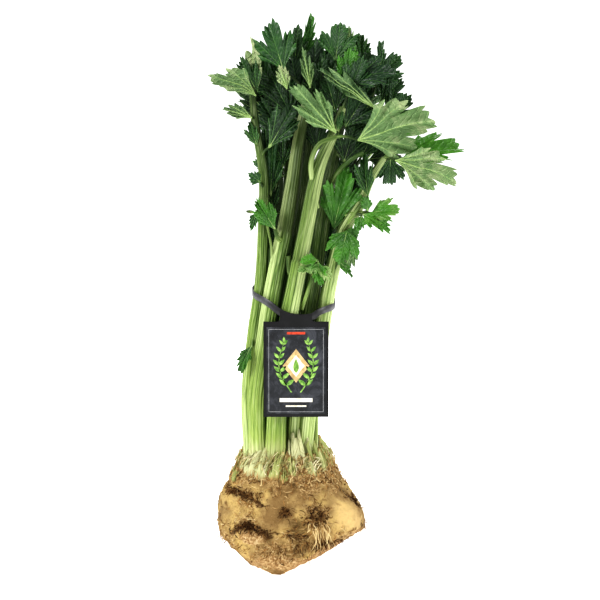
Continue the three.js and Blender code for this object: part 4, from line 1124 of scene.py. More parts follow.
TUFT_SPREAD = 1.6  # a tuft's width over the standard deviation of where its rootlets start
TUFT_LOW = 5  # least height of a rootlet's start
TUFT_SINK = -1.0
FIBRE_STEPS = 8
FIBRE_SIDES = 4
FIBRE_CURLS = (1, 2.2)  # half turns in each bend of a string
FIBRE_CURL = 0.2
FIBRE_HANG = 0.45
FIBRE_TAPER = 0.7


def skin_spot(compass, height, grow):
    """A point of the trimmed skin and the way it faces."""
    point, _ = trim(bulb_skin(np.array(math.radians(compass)), np.array(float(height)), grow), -grow)
    return point, unit(point - BULB_MIDDLE)


def add_fibre(shell, start, way, length, radius, hang, tone, random):
    """A thin dry string that leaves start, curls and hangs."""
    t = np.linspace(0, 1, FIBRE_STEPS)[:, None]
    points = start + way * t * length
    for turns in FIBRE_CURLS:
        side = unit(random.normal(size=3))
        sway = np.sin(t * turns * math.pi + random.uniform(0, 1))
        points = points + side * sway * t * length * FIBRE_CURL
    points[:, 2] -= hang * length * FIBRE_HANG * t[:, 0] ** 2
    radii = radius * (1 - FIBRE_TAPER * t[:, 0])
    points[:, 2] = np.maximum(points[:, 2], radii + 0.05)
    add_tube(shell, points, radii, FIBRE_SIDES, (tone, 0, 0))


def make_rootlets(style):
    random = np.random.default_rng(3)
    shell = Shell()
    for compass, level, wide, tall, number, length, tone, radius, hang in TUFTS:
        for _ in range(number):
            turn = compass + math.degrees(random.normal() * wide / TUFT_SPREAD / BULB_GIRTH)
            height = max(level + random.normal() * tall / TUFT_SPREAD, TUFT_LOW)
            start, out = skin_spot(turn, height, TUFT_SINK)
            way = unit(out * 0.8 + random.normal(size=3) * 0.6)
            reach = length * random.uniform(0.5, 1.25) * style.rootlet_length
            shade = float(np.clip(tone + random.normal() * 0.14, 0, 1))
            add_fibre(shell, start, way, reach, radius * random.uniform(0.7, 1.2), hang, shade, random)
    shell.piece("bulb_rootlets", [fibre_finish()], "root_bulb", "root_skin")


# Old leaf bases round the crown: compass angle, foot height, share of the crown's radius,
# width, height, lean, tone and dryness. Tone runs from cream to green.
HUSKS = [
    (-156, 86, 1.1, 20, 18, -0.45, 0.1, 0.0), (-138, 85, 1.14, 24, 22, -0.45, 0.05, 0.0),
    (-122, 84, 1.16, 20, 23, -0.45, 0.12, 0.0), (-107, 83, 1.14, 16, 19, -0.42, 0.3, 0.1),
    (-95, 82, 1.12, 7, 9, -0.3, 0.4, 0.25), (-86, 84, 1.1, 13, 14, -0.35, 0.35, 0.2),
    (-80, 86, 0.98, 16, 25, -0.3, 0.0, 0.0), (-66, 87, 0.98, 19, 31, -0.3, 0.02, 0.0),
    (-61, 84, 1.1, 14, 14, -0.3, 0.15, 0.25), (-50, 86, 1.04, 13, 24, -0.2, 0.42, 0.0),
    (-44, 86, 1.1, 7, 17, -0.1, 0.2, 0.2), (-31, 84, 1.06, 8, 18, -0.25, 0.45, 0.2),
    (-170, 82, 1.08, 8, 9, -0.2, 0.5, 0.25), (-152, 77, 1.1, 3, 11, -0.1, 0.35, 0.3),
    (-12, 85, 1.1, 18, 18, -0.35, 0.35, 0.25), (8, 86, 1.1, 16, 22, -0.38, 0.3, 0.2),
    (28, 84, 1.12, 16, 14, -0.3, 0.2, 0.45), (48, 86, 1.1, 20, 22, -0.38, 0.4, 0.15),
    (70, 84, 1.12, 16, 15, -0.3, 0.15, 0.45), (92, 86, 1.1, 20, 22, -0.38, 0.3, 0.2),
    (112, 84, 1.12, 16, 14, -0.3, 0.15, 0.45), (134, 86, 1.1, 20, 22, -0.38, 0.4, 0.15),
    (156, 84, 1.12, 16, 15, -0.3, 0.2, 0.35), (176, 86, 1.1, 18, 20, -0.38, 0.35, 0.2),
]
HUSK_GRID = (12, 19)  # rows and columns of points
HUSK_ROOT = 5.0  # how far below its foot, inside the skin, a leaf base starts
HUSK_SINK = 5.5  # how far inward it starts
HUSK_SWELL = 3.2  # how far out its middle bulges
HUSK_CURL = 0.3  # how far its sides curl in, over its width
HUSK_THICK = (2.2, 1.1)  # thickness at its foot, and what it loses towards its end
HUSK_ENDS = (0.6, 1.08)  # shortest and longest torn ends, over its height
SCRAPS = 230  # brown scraps of old leaf bases between them
SCRAP_GRID = (5, 6)
STRINGS = 560  # dry strings in the crown
THREADS = 170  # paler ones over the leaf bases, and the sides they gather on
THREAD_SIDES = (-145, -122, -122, -108, -80, -62, 20, 80, 140)
THREAD_SPREAD = 13
FRESH_SIDE = -125  # compass angle round which the scraps are less dry
FRESH_SPREAD = 35


def add_husk(shell, compass, foot, out_share, width, height, lean, tone, dry, random, grid=HUSK_GRID):
    """One curved, stringy leaf base whose end is torn off."""
    rows, columns = grid
    u = np.linspace(-1, 1, columns)[None, :]
    v = np.linspace(0, 1, rows)[:, None]
    around = math.radians(compass)
    out = np.array([math.cos(around), math.sin(around), 0.0])
    aside = np.array([-math.sin(around), math.cos(around), 0.0])
    base = bulb_skin(np.array(around), np.array(float(foot)))
    base = base * [out_share, out_share, 1] - out * HUSK_SINK - [0, 0, HUSK_ROOT]
    seed = int(random.integers(1000))
    torn = fractal(np.stack([u[0] * 4, u[0] * 0, u[0] * 0 + seed], -1), 1, 3, seed)
    top = np.clip(0.95 + 0.3 * torn, *HUSK_ENDS) - 0.15 * np.abs(u[0]) ** 3
    rise = v * (height + HUSK_ROOT) * top[None, :]
    half = width / 2 * (1 - 0.15 * v)
    curl = -HUSK_CURL * width * u ** 2 * (1 - 0.3 * v)
    across, along, own = np.broadcast_arrays(u * width / 4, v * 1.5, seed)
    crinkle = fractal(np.stack([across, along, own], -1), 1, 3, seed + 9)
    swell = HUSK_SWELL * np.sin(math.pi * np.clip(1.1 * v, 0, 1))
    depth = lean * (height + HUSK_ROOT) * v ** 1.2 + swell + curl + crinkle
    centre = base + u[..., None] * half[..., None] * aside + depth[..., None] * out
    centre[..., 2] += rise
    thick = (HUSK_THICK[0] - HUSK_THICK[1] * v) * (1 - 0.75 * np.abs(u) ** 3)
    place = np.stack([u * half, rise, 0 * rise], axis=-1)
    worn = dry + 0.3 * smooth_step(v, 0.9, 1) + 0.5 * smooth_step(-v, -0.5, -0.1)
    tint = np.stack([tone + 0 * rise, worn + 0 * u, 0 * rise], axis=-1)
    tint = np.tile(np.clip(tint, 0, 1).reshape(-1, 3), (2, 1))
    add_sheet(shell, centre + out * thick[..., None] / 2, centre - out * thick[..., None] / 2, place, tint)


def make_crown(style):
    random = np.random.default_rng(17)
    shell = Shell()
    for row in HUSKS:
        add_husk(shell, *row, random)
    for _ in range(SCRAPS):
        compass, foot = random.uniform(-180, 180), random.uniform(76, 95)
        width, height = random.uniform(2, 6), random.uniform(1, 6)
        fresh = 0.5 * math.exp(-((compass - FRESH_SIDE) / FRESH_SPREAD) ** 2)
        dry = np.clip(random.uniform(0.2, 1.0) - fresh, 0, 1)
        out_share, lean = random.uniform(0.97, 1.03), random.uniform(-0.4, 0.5)
        tone = random.uniform(0, 0.4)
        add_husk(shell, compass, foot, out_share, width, height, lean, tone, dry, random, SCRAP_GRID)
    shell.piece("crown_husks", [husk_finish()], "root_bulb", "root_skin", crease=80)

    strings = Shell()
    for _ in range(STRINGS):
        start, out = skin_spot(random.uniform(-180, 180), random.uniform(76, 96), random.uniform(-0.8, 2.5))
        inward = out * [-1, -1, 0]
        lean = np.cross(out, [0, 0, 1.0]) * random.normal() * 0.9 + inward * 0.5 + out * 0.25
        tone = float(np.clip(random.normal() * 0.25 + 0.72, 0, 1))
        way = unit(lean + [0, 0, random.uniform(-0.2, 1.2)])
        length = random.uniform(4, 10) * style.rootlet_length
        add_fibre(strings, start, way, length, random.uniform(0.25, 0.45), 0.2, tone, random)
    strings.piece("crown_strings", [fibre_finish()], "root_bulb", "root_skin")

    threads = Shell()
    for _ in range(THREADS):
        compass = random.choice(THREAD_SIDES) + random.normal() * THREAD_SPREAD
        start, out = skin_spot(compass, random.uniform(85, 95), random.uniform(1.5, 3.5))
        lean = np.cross([0, 0, 1.0], out) * random.normal(0.3, 0.8) + out * [-0.5, -0.5, 0]
        way = unit(lean + [0, 0, random.uniform(0.3, 1.4)])
        length, radius = random.uniform(8, 18) * style.rootlet_length, random.uniform(0.35, 0.65)
        add_fibre(threads, start, way, length, radius, 0.5, random.uniform(0, 1), random)
    threads.piece("crown_threads", [thread_finish()], "root_bulb", "root_skin")


# ---------------------------------------------------------------- the stalks

STALK_ROWS = 84
BACK_STEPS = 56
FRONT_STEPS = 22
CROWN_LEVEL = 92  # height at which the stalks leave the crown
STALK_RISE = 310  # height over it at which their colour is that of their tops
PLAIN_PAINTED_LIGHT = 0.4  # painted light and shade of a side stem or petiolule that gives none of its own
SIDE_STEPS = 26
FLARE = (0.16, 0.045)  # how much wider a stalk is at its foot, and the share over which that fades
KNUCKLE = (0.09, 0.04)  # how much wider it gets below its joint, and over what share
NECK = (0.03, 0.02)  # how much slimmer it is above it, and over what share
END_ROUNDING = 0.012
RIB_DRIFT = 0.05  # how far its ribs stray
RIB_POWER = 0.42  # below 1, ribs are broad and the grooves between them narrow
FRONT_RIBS = 5
FRONT_GROOVE = 0.45  # how deep their grooves are over those of the back
FRONT_HOLLOW = 0.45  # how far the stalk's front is drawn in
USUAL_HALF = 7.0  # half width at which grooves have the depth that is set
SQUARENESS = 0.8  # below 1, its section is fuller than an ellipse
JOINT_WEAR = 0.006  # share over which the worn colour above its joint starts
JOINT_RAGGED = 0.008
STEM_BACK = 2.0  # how far behind its place on a stem a petiolule starts
STEM_STAGGER = 0.7
STEM_LEAD = 0.45


def stalk_angles():
    """Places round a stalk's section in radians: close together on its ribbed back."""
    back = np.linspace(0, math.pi, BACK_STEPS, endpoint=False)
    front = np.linspace(math.pi, TURN, FRONT_STEPS, endpoint=False)
    return np.concatenate([back, front])


def stalk_rise(height):
    """How far up its stalk's colours a height lies."""
    return np.clip((height - CROWN_LEVEL) / STALK_RISE, 0, 1)


def add_stalk(shell, key, style):
    """One ribbed stalk, and the curve up its middle."""
    stalk = STALKS[key]
    own = 31.0 * list(STALKS).index(key)
    curve = SmoothPath(stalk["path"])
    t = np.linspace(0, 1, STALK_ROWS)
    t = np.concatenate([t[:-1], 1 - END_ROUNDING * (1 - np.linspace(0.2, 1, 4))])
    centre, tangent = curve.point(t), curve.tangent(t)
    back = square_to(heading(stalk["facing"], 0), tangent)
    across = np.cross(back, tangent)
    widths = np.interp(t, np.linspace(0, 1, len(stalk["widths"])), stalk["widths"])
    past = t - stalk["joint"]
    (swell, below), (loss, above) = KNUCKLE, NECK
    knuckle = 1 + np.where(past < 0, swell * np.exp(past / below), -loss * np.exp(-past / above))
    flare = 1 + FLARE[0] * np.exp(-t / FLARE[1])
    end = np.sqrt(np.clip(1 - np.clip((t - 1 + END_ROUNDING) / END_ROUNDING, 0, 1) ** 2, 0.02, 1))
    half = (widths / 2 * knuckle * flare * end)[:, None]
    angle, run = stalk_angles()[None, :], run_along(centre)[:, None]
    stray = lattice_noise(np.stack(np.broadcast_arrays(angle * 1.5, t[:, None] * 5, own), -1), 7)
    on_back = angle < math.pi
    ribs = np.where(on_back, style.ribs * (angle + RIB_DRIFT * stray) / math.pi,
                    FRONT_RIBS * (angle - math.pi) / math.pi)
    groove = 1 - np.abs(np.sin(math.pi * ribs)) ** RIB_POWER
    depth = style.rib_depth / MM * np.where(on_back, 1, FRONT_GROOVE) * half / USUAL_HALF
    channel = np.where(on_back, 1, 1 - FRONT_HOLLOW * np.sin(angle) ** 2)
    reach = half - depth * groove
    square = lambda value: np.sign(value) * np.abs(value) ** SQUARENESS
    points = centre[:, None] + (reach * square(np.cos(angle)))[..., None] * across[:, None]
    points = points + (reach * STALK_DEPTH * channel * square(np.sin(angle)))[..., None] * back[:, None]
    # Painted shade on the stalk's two edges, where it meets its neighbours, and on its whole inner face,
    # carried with the depth of its grooves.
    flank = smooth_step(np.abs(np.cos(angle)), 0.8, 1)
    shaded = np.where(on_back, np.maximum(groove, flank), 0.8)
    place = np.stack(np.broadcast_arrays(own + angle * half * 0.85, run, shaded), -1)
    ragged = JOINT_RAGGED * lattice_noise(np.stack([angle * 5 + own, angle * 0, angle * 0], -1), 8)
    over = past[:, None] + ragged
    upper = stalk["worn"] * smooth_step(over, 0, JOINT_WEAR)
    upper = upper + 0.5 * np.exp(-((over - 0.004) / JOINT_WEAR) ** 2)
    rise = stalk_rise(centre[:, 2:])
    # Painted light and shade for each side of the stalk, low down and high up.
    side = smooth_step(np.cos(angle), -0.25, 0.25)
    low, high = [side * a + (1 - side) * b for a, b in stalk["painted_light"]]
    painted_light = low + (high - low) * smooth_step(rise, 0.15, 0.4)
    tint = np.stack(np.broadcast_arrays(rise, upper, painted_light), axis=-1)
    add_rings(shell, points, centre[[0, -1]], place, tint)
    return curve


def leaflet_rows(key):
    """The grown and the young leaflets of one stalk."""
    return LEAFLETS[key] + YOUNG_LEAFLETS.get(key, [])


def petiolule_path(row, order, curve):
    """The slim stem that carries a blade; each starts a little deeper than the last."""
    place, foot = row[1], np.array(row[2], dtype=float)
    start = curve.point(place) - curve.tangent(place) * (STEM_BACK + STEM_STAGGER * order)
    lead = start + curve.tangent(place) * np.linalg.norm(foot - start) * STEM_LEAD
    return arch(start, lead, foot, 14)


def make_stalks(style):
    finish = stalk_finish(style)
    for key in STALKS:
        shell = Shell()
        curves = [add_stalk(shell, key, style)]
        for side in SIDE_STEMS.get(key, []):
            curve = SmoothPath(side["path"])
            curves.append(curve)
            radii = np.linspace(*side["radii"], SIDE_STEPS)
            # the side stem's painted light and shade, or that of a plain one
            painted_light = side.get("painted_light", PLAIN_PAINTED_LIGHT)
            add_tube(shell, curve.point(np.linspace(0, 1, SIDE_STEPS)), radii, 14, (0.5, 0, painted_light))
        for order, row in enumerate(leaflet_rows(key)):
            path = petiolule_path(row, order, curves[row[0]])
            radii = np.linspace(*PETIOLULE_RADII, len(path))
            add_tube(shell, path, radii, 10, (stalk_rise(path[0, 2]), 0, PLAIN_PAINTED_LIGHT))
        shell.piece(f"stalk_{key}_stem", [finish], f"stalk_{key}", "stalk")


# ---------------------------------------------------------------- the leaflets

RIB_STEPS = 12
# The fold between main veins: depth over length, degrees from a vein to the crest, and the share
# of the depth that lies below the sheet.
LOBE_FOLD = (0.06, 11, 0.4)
TOOTH_RIPPLE = 0.25
BUCKLES = ((0.055, 17), (0.02, 7))  # depth over length and size of the folds between veins
EDGE_DROOP = 0.05
VEIN_GAPS = (0.1, 2.6)  # distance between side veins over the length, and the least one
TONE_TOP = 1.5  # a leaflet's tone at the pale end of its colours


class Blade:
    """One leaflet: where a place in its outline lies in space."""

    def __init__(self, row, seed):
        _, _, foot, tip, width, compass, slope, bend, fold, form, self.tone = row
        self.foot = np.array(foot, dtype=float)
        chord = np.array(tip, dtype=float) - self.foot
        half_bend = math.radians(bend) / 2
        self.length = np.linalg.norm(chord) * half_bend / math.sin(half_bend)
        chord = unit(chord)
        face = square_to(heading(compass, slope), chord)
        self.side = np.cross(face, chord)
        self.grown = chord * math.cos(half_bend) + face * math.sin(half_bend)
        self.up = face * math.cos(half_bend) - chord * math.sin(half_bend)
        self.turn = math.radians(bend) / self.length
        self.fold = math.radians(fold)
        self.seed = seed
        self.spread(form, width)

    def spread(self, form, width):
        """Sets the fine edge: its angles, its distances from the foot and its tooth numbers."""
        form = BLADE_FORMS[form]
        roll = dice(self.seed)
        self.wave = (0.03 + 0.03 * next(roll)) * self.length
        self.phase = TURN * next(roll)
        coarse = form["reach"]
        stations = [-a for a, _ in coarse[:0:-1]] + [a for a, _ in coarse]
        spread = [0.95 + 0.1 * next(roll) for _ in stations]
        widest = max(r * math.sin(math.radians(a)) for a, r in coarse) * self.length
        self.stretch = width / 2 / widest
        edge = form["teeth"]
        angles, reach, teeth = [edge[0][0]], [edge[0][1]], [0.0]
        for i, ((a0, r0), (a1, r1)) in enumerate(zip(edge, edge[1:])):
            for flank in (*TOOTH_FLANK[1:], 1.0):
                inward = i % 2 == 0
                x = 1 - flank if inward else flank
                lift = 0.6 * (1 - (1 - x) ** 2) + 0.4 * x
                angles.append(a0 + (a1 - a0) * flank)
                reach.append(r1 + (r0 - r1) * lift if inward else r0 + (r1 - r0) * lift)
                teeth.append((i + flank) / 2)
        mirror = lambda values, sign: np.array([sign * v for v in values[:0:-1]] + values)
        self.angles = mirror(angles, -1)
        self.half_angles, self.half_teeth = np.array(angles), np.array(teeth)
        own = np.array([0.97 + 0.06 * next(roll) for _ in self.angles[::3]])
        uneven = np.interp(self.angles, self.angles[::3], own)
        self.reach = mirror(reach, 1) * self.length * np.interp(self.angles, stations, spread) * uneven
        self.gap = max(VEIN_GAPS[0] * self.length, VEIN_GAPS[1])
        self.lobes = form["lobes"]

    def point(self, angle, share, lift):
        """Points at angles in degrees off the midrib and shares of the reach, lifted off the sheet."""
        reach = np.interp(angle, self.angles, self.reach) * share
        open_angle = np.radians(angle * (0.8 + 0.2 * share))
        forward = reach * np.cos(open_angle)
        sideways = reach * np.sin(open_angle) * self.stretch
        side, turned = np.abs(angle), np.radians(angle)
        number = np.interp(side, self.half_angles, self.half_teeth)
        lift = lift + self.wave * share ** 2 * np.sin(5 * turned + self.phase)
        aside = np.min([np.abs(side - a) for a in self.lobes], axis=0)
        deep, crest, middle = LOBE_FOLD
        lift = lift + deep * self.length * (smooth_step(aside, 0, crest) - middle) * share ** 1.3
        lift = lift + TOOTH_RIPPLE * np.cos(TURN * number) * smooth_step(share, 0.75, 1.0)
        spot = np.stack([forward, sideways, 0 * forward + self.seed], axis=-1)
        folds = sum(deep * fractal(spot, size, 1, self.seed) for deep, size in BUCKLES)
        droop = EDGE_DROOP * smooth_step(share, 0.6, 1.15) * (1 + np.sin(9 * turned))
        lift = lift + self.length * (folds - droop)
        arc = self.turn * forward
        rise = lift + (np.sqrt(sideways ** 2 + 0.5) - math.sqrt(0.5)) * math.sin(self.fold)
        along = np.sin(arc) / self.turn + rise * np.sin(arc)
        above = (np.cos(arc) - 1) / self.turn + rise * np.cos(arc)
        beside = sideways * math.cos(self.fold)
        return (self.foot + along[..., None] * self.grown + above[..., None] * self.up
                + beside[..., None] * self.side)

    def veins(self, angle, share):
        """How many side veins lie between a place and the foot, and how far off the main vein is."""
        reach = np.interp(angle, self.angles, self.reach) * share
        aside = [np.abs(np.abs(angle) - a) + 0 * share for a in self.lobes]
        aside = np.radians(np.min(aside, axis=0))
        along = reach * (np.cos(aside) - 1.1 * np.sin(aside) * self.stretch)
        return along / self.gap, np.minimum(reach * np.sin(aside) * self.stretch, 5)


def add_blade(shell, blade, thickness):
    """A closed leaflet: upper skin, underside and the rim between them."""
    shares = np.array(BLADE_SHARES)[:, None]
    angles = blade.angles[None, :]
    half = thickness / 2 * (1 - 0.6 * shares ** 4)
    upper = blade.point(angles, shares, half)
    under = blade.point(angles, shares, -half)
    rows, columns = upper.shape[:2]
    own = (blade.seed * 0.37) % 1
    number, trunk = blade.veins(angles, shares)
    place = np.stack([number, blade.gap + 0 * number, shares + 0 * angles], axis=-1)
    tone = blade.tone / TONE_TOP
    tint = np.stack([tone + 0 * trunk, own + 0 * trunk, trunk], axis=-1)
    foot = blade.foot - blade.grown * 0.5
    feet = np.stack([foot + blade.up * half[0], foot - blade.up * half[0]])
    size = rows * columns
    fan_j = np.arange(columns - 1)
    quads = grid_faces(rows, columns)[:, ::-1]
    fan = np.stack([np.full(columns - 1, 2 * size), fan_j, fan_j + 1], axis=-1)
    fan_under = np.stack([np.full(columns - 1, 2 * size + 1), size + fan_j + 1, size + fan_j], axis=-1)
    rim = np.concatenate([[2 * size], np.arange(rows) * columns,
                          (rows - 1) * columns + np.arange(1, columns),
                          np.arange(rows - 2, -1, -1) * columns + columns - 1])
    below = np.concatenate([[2 * size + 1], rim[1:] + size])
    edge = np.stack([np.roll(rim, -1), rim, below, np.roll(below, -1)], axis=-1)
    flat = lambda grid: grid.reshape(-1, 3)
    points = np.vstack([flat(upper), flat(under), feet])
    place = np.vstack([flat(place), flat(place), [[0, blade.gap, 0]] * 2])
    tint = np.vstack([flat(tint), flat(tint), [[tone, own, 0]] * 2])
    groups = [quads, quads[:, ::-1] + size, fan, fan_under, edge]
    shell.add(points, groups, place, tint, finish=(0, 1, 0, 1, 1))


def add_ribs(shell, blade, thickness):
    """The raised main veins on the underside, one for each lobe."""
    share = np.linspace(0, 0.9, RIB_STEPS)
    for at in blade.lobes:
        for angle in sorted({-at, at}):
            path = blade.point(np.full(RIB_STEPS, float(angle)), share, -thickness / 2)
            radii = np.linspace(0.8 if at == 0 else 0.5, 0.12, RIB_STEPS)
            add_tube(shell, path, radii, 6, (0.5, 0, 0), finish=2)


def make_leaves(style):
    thickness = style.thickness / MM
    tones = [colour_of(c) for c in (style.deep, style.fresh, style.bright)] + [linear("#b7c48c")]
    top = blade_finish("celeriac_leaf_top", tones, colour_of(style.vein), 0.42, 0.4, 0.4, 0.5)
    tones = ["#2a4030", "#4f6c45", "#7c9a64", "#c8cca2"]
    under = blade_finish("celeriac_leaf_under", tones, linear("#b4c495"), 0.55, 0.3, 0.9, 0.8)
    ribs = vein_finish()
    for key in LEAFLETS:
        shell = Shell()
        for i, row in enumerate(leaflet_rows(key)):
            blade = Blade(row, 101 + 17 * i + len(key))
            add_blade(shell, blade, thickness)
            add_ribs(shell, blade, thickness)
        shell.piece(f"stalk_{key}_leaves", [top, under, ribs], f"stalk_{key}", "stalk", crease=60)


# ---------------------------------------------------------------- the hang tag

BORDER = 2.6  # black border round the printed panel
PANEL_RISE = 0.12
PRINT_RISE = 0.22
PANEL_SINK = 0.3  # how far the panel reaches into the card
TOP_MARGIN = 2.0  # how much wider the border is at the card's top
RULE_INSET = 1.6
RULE_WIDTH = 0.3
EMBLEM_HEIGHT = 176
DIAMONDS = ((11, 14), (7, 9))  # half width and half height of the tan and the cream diamond
CREAM_BARS = ((27, 146, 3.2), (17, 142, 1.2))  # width, foot and height of each
RED_BAR = (15, 202, 2.0)
LEAF_MARK = (170, 12, 4.6)  # foot, length and width
STRAP_ROUNDING = 0.2
SPRIG = {"foot": (9.0, 154.0), "tip": (14.5, 196.0), "bow": 7.5, "pairs": 7, "leaf": 8.5}


def rectangle(left, bottom, right, top):
    return [(left, bottom), (right, bottom), (right, top), (left, top)]


def quarter(corner, start, end, steps=6):
    """Points of a rounded shoulder from start to end, pulled towards a corner."""
    start, corner, end = (np.array([*p, 0.0]) for p in (start, corner, end))
    return [tuple(p[:2]) for p in arch(start, corner, end, steps)]


def card_outline():
    """The die-cut card and its neck, as points across and up."""
    left, right, top, neck = TAG["left"], TAG["right"], TAG["top"], TAG["neck_top"]
    inner, outer, drop, dip = TAG["neck_left"], TAG["neck_right"], TAG["shoulder"], TAG["neck_dip"]
    points = [(left, TAG["bottom"]), (right, TAG["bottom"]), (right, top)]
    points += quarter((outer, top), (outer + drop, top), (outer, top + drop))
    points += quarter(((inner + outer) / 2, neck - dip), (outer, neck - dip / 2), (inner, neck), 12)
    points += quarter((inner, top), (inner, top + drop), (inner - drop, top))
    return points + [(left, top)]


def add_plate(mesh, outline, front, thickness, bevel=0.0):
    """A flat plate in the tag's plane, built into a bmesh in mm, its face at front."""
    corners = [mesh.verts.new((x, front, z)) for x, z in outline]
    face = mesh.faces.new(corners)
    if face.normal.y > 0 or sum(x0 * z1 - x1 * z0 for (x0, z0), (x1, z1) in
                                zip(outline, outline[1:] + outline[:1])) < 0:
        face.normal_flip()
    grown = bmesh.ops.extrude_face_region(mesh, geom=[face], use_keep_orig=True)
    moved = [item for item in grown["geom"] if isinstance(item, bmesh.types.BMVert)]
    bmesh.ops.translate(mesh, verts=moved, vec=(0, thickness, 0))
    if bevel:
        rims = [edge for edge in mesh.edges if abs(edge.verts[0].co.y - edge.verts[1].co.y) < 1e-6]
        bmesh.ops.bevel(mesh, geom=rims, offset=bevel, segments=2, affect="EDGES", clamp_overlap=True)


def plates_piece(name, material, plates):
    """One piece from flat plates, each given as outline, front, thickness and bevel."""
    built = bmesh.new()
    for plate in plates:
        part = bmesh.new()
        add_plate(part, *plate)
        bmesh.ops.recalc_face_normals(part, faces=part.faces)
        loose = bpy.data.meshes.new(name)
        part.to_mesh(loose)
        part.free()
        built.from_mesh(loose)
        bpy.data.meshes.remove(loose)
    bmesh.ops.scale(built, vec=(MM, MM, MM), verts=built.verts)
    mesh = bpy.data.meshes.new(name)
    built.to_mesh(mesh)
    built.free()
    return place_piece(mesh, name, [material], "hang_tag")


def leaf_outline(foot, way, length, width):
    """A pointed leaf on the card, as points across and up."""
    along = np.array(way) / np.hypot(*way)
    beside = np.array([-along[1], along[0]])
    t = np.linspace(0, 1, 9)
    swell = np.sin(math.pi * t ** 0.8) * width / 2
    right = [foot + along * length * s - beside * w for s, w in zip(t, swell)]
    left = [foot + along * length * s + beside * w for s, w in zip(t[-2:0:-1], swell[-2:0:-1])]
    return [tuple(p) for p in right + left]


def sprig_outlines(side):
    """A plain printed sprig: leaves in pairs up a bowed stem; side is 1, or -1 for its mirror."""
    middle = (TAG["left"] + TAG["right"]) / 2
    foot, tip = np.array(SPRIG["foot"]), np.array(SPRIG["tip"])
    bow = np.array([SPRIG["bow"], 0.0])
    path = lambda t: (1 - t) * foot + t * tip + bow * math.sin(math.pi * t)
    shapes = [[path(t) + (0.5 * (1 - t) + 0.15, 0) for t in np.linspace(0, 1, 14)]
              + [path(t) - (0.5 * (1 - t) + 0.15, 0) for t in np.linspace(1, 0, 14)]]
    for i in range(SPRIG["pairs"]):
        t = 0.14 + 0.8 * i / (SPRIG["pairs"] - 1)
        size = SPRIG["leaf"] * (1 - 0.4 * t)
        for hand in (-1, 1):
            shapes.append(leaf_outline(path(t), (hand, 0.75 + 0.4 * t), size, size * 0.42))
    shapes.append(leaf_outline(path(0.98), (0.1, 1.0), SPRIG["leaf"] * 0.6, SPRIG["leaf"] * 0.26))
    return [[(middle + side * (x - middle), z) for x, z in shape][::side] for shape in shapes]


def card_finish(style):
    """Black card, a little worn."""
    made = Finish("tag_black", Roughness=0.42, Specular_IOR_Level=0.4)
    worn = made.noise(made.spot(), 14, 3)
    made.bump(made.noise(made.spot(), 0.6, 3), 0.04, 0.5)
    base = colour_of(style.border)
    return made.coloured(made.mix(made.span(worn, 0.45, 0.75, 0, 0.35), base, linear("#232326")))


def panel_finish(style):
    """Mottled slate print under a satin coat."""
    made = Finish("tag_slate", Roughness=0.38, Specular_IOR_Level=0.4)
    cloud = made.noise(made.spot(), 13, 5, 0.65, 0.6)
    speck = made.noise(made.spot(), 1.2, 3, 0.7)
    made.bump(speck, 0.05, 0.4)
    colour = made.ramp(cloud, (0.32, "#141517"), (0.5, colour_of(style.panel)), (0.7, "#4a4c52"))
    return made.coloured(made.mix(made.span(speck, 0.6, 0.75, 0, 0.35), colour, linear("#6a6d74")))


def ink_finish(name, dark, light):
    """A printed ink whose tone varies a little."""
    made = Finish(name, Roughness=0.4, Specular_IOR_Level=0.35)
    made.bump(made.noise(made.spot(), 0.5, 2), 0.03, 0.4)
    return made.coloured(made.ramp(made.noise(made.spot(), 3.5, 3), (0.35, dark), (0.65, light)))


def strap_finish(style):
    """Brushed grey strap, with painted shade that darkens it where it nears the tag's face."""
    made = Finish("tag_strap", Roughness=0.4, Specular_IOR_Level=0.45)
    across, run, _ = made.fact("place")
    made.bump(made.noise(made.drawn_out(across, run, 0.05), 0.5, 3), 0.04, 0.6)
    cloud = made.noise(made.spot(), 9, 3)
    colour = made.ramp(cloud, (0.3, "#2a2a2c"), (0.55, colour_of(style.strap)), (0.75, "#666668"))
    # painted shade: the strap darkens towards the tag's face
    near = made.node("SeparateXYZ", {0: made.spot()}).outputs[1]
    return made.coloured(made.mix(made.span(near, -32.0, -38.0, 0, 0.8), colour, linear("#161617")))


def make_strap(style):
    """The flat strap that runs from the tag's neck right round the stalks."""
    curve = SmoothPath(STRAP_LOOP)
    t = np.linspace(0, 1, STRAP_STEPS)
    centre, tangent = curve.point(t), curve.tangent(t)
    tall = square_to(np.array([0, 0, 1.0]), tangent)
    thick = np.cross(tangent, tall)
    soft, a, b = STRAP_ROUNDING, STRAP_THICKNESS / 2, STRAP_HEIGHT / 2
    section = np.array([(a, b - soft), (a - soft, b), (soft - a, b), (-a, b - soft),
                        (-a, soft - b), (soft - a, -b), (a - soft, -b), (a, soft - b)])
    across, up = section.T[:, None, :, None]
    rings = centre[:, None] + across * thick[:, None] + up * tall[:, None]
    place = np.stack(np.broadcast_arrays(section[:, 1], run_along(centre)[:, None], 0.0), axis=-1)
    shell = Shell()
    add_rings(shell, rings, centre[[0, -1]], place, 0.5)
    shell.piece("tag_strap", [strap_finish(style)], "hang_tag", "tag_card", crease=60)


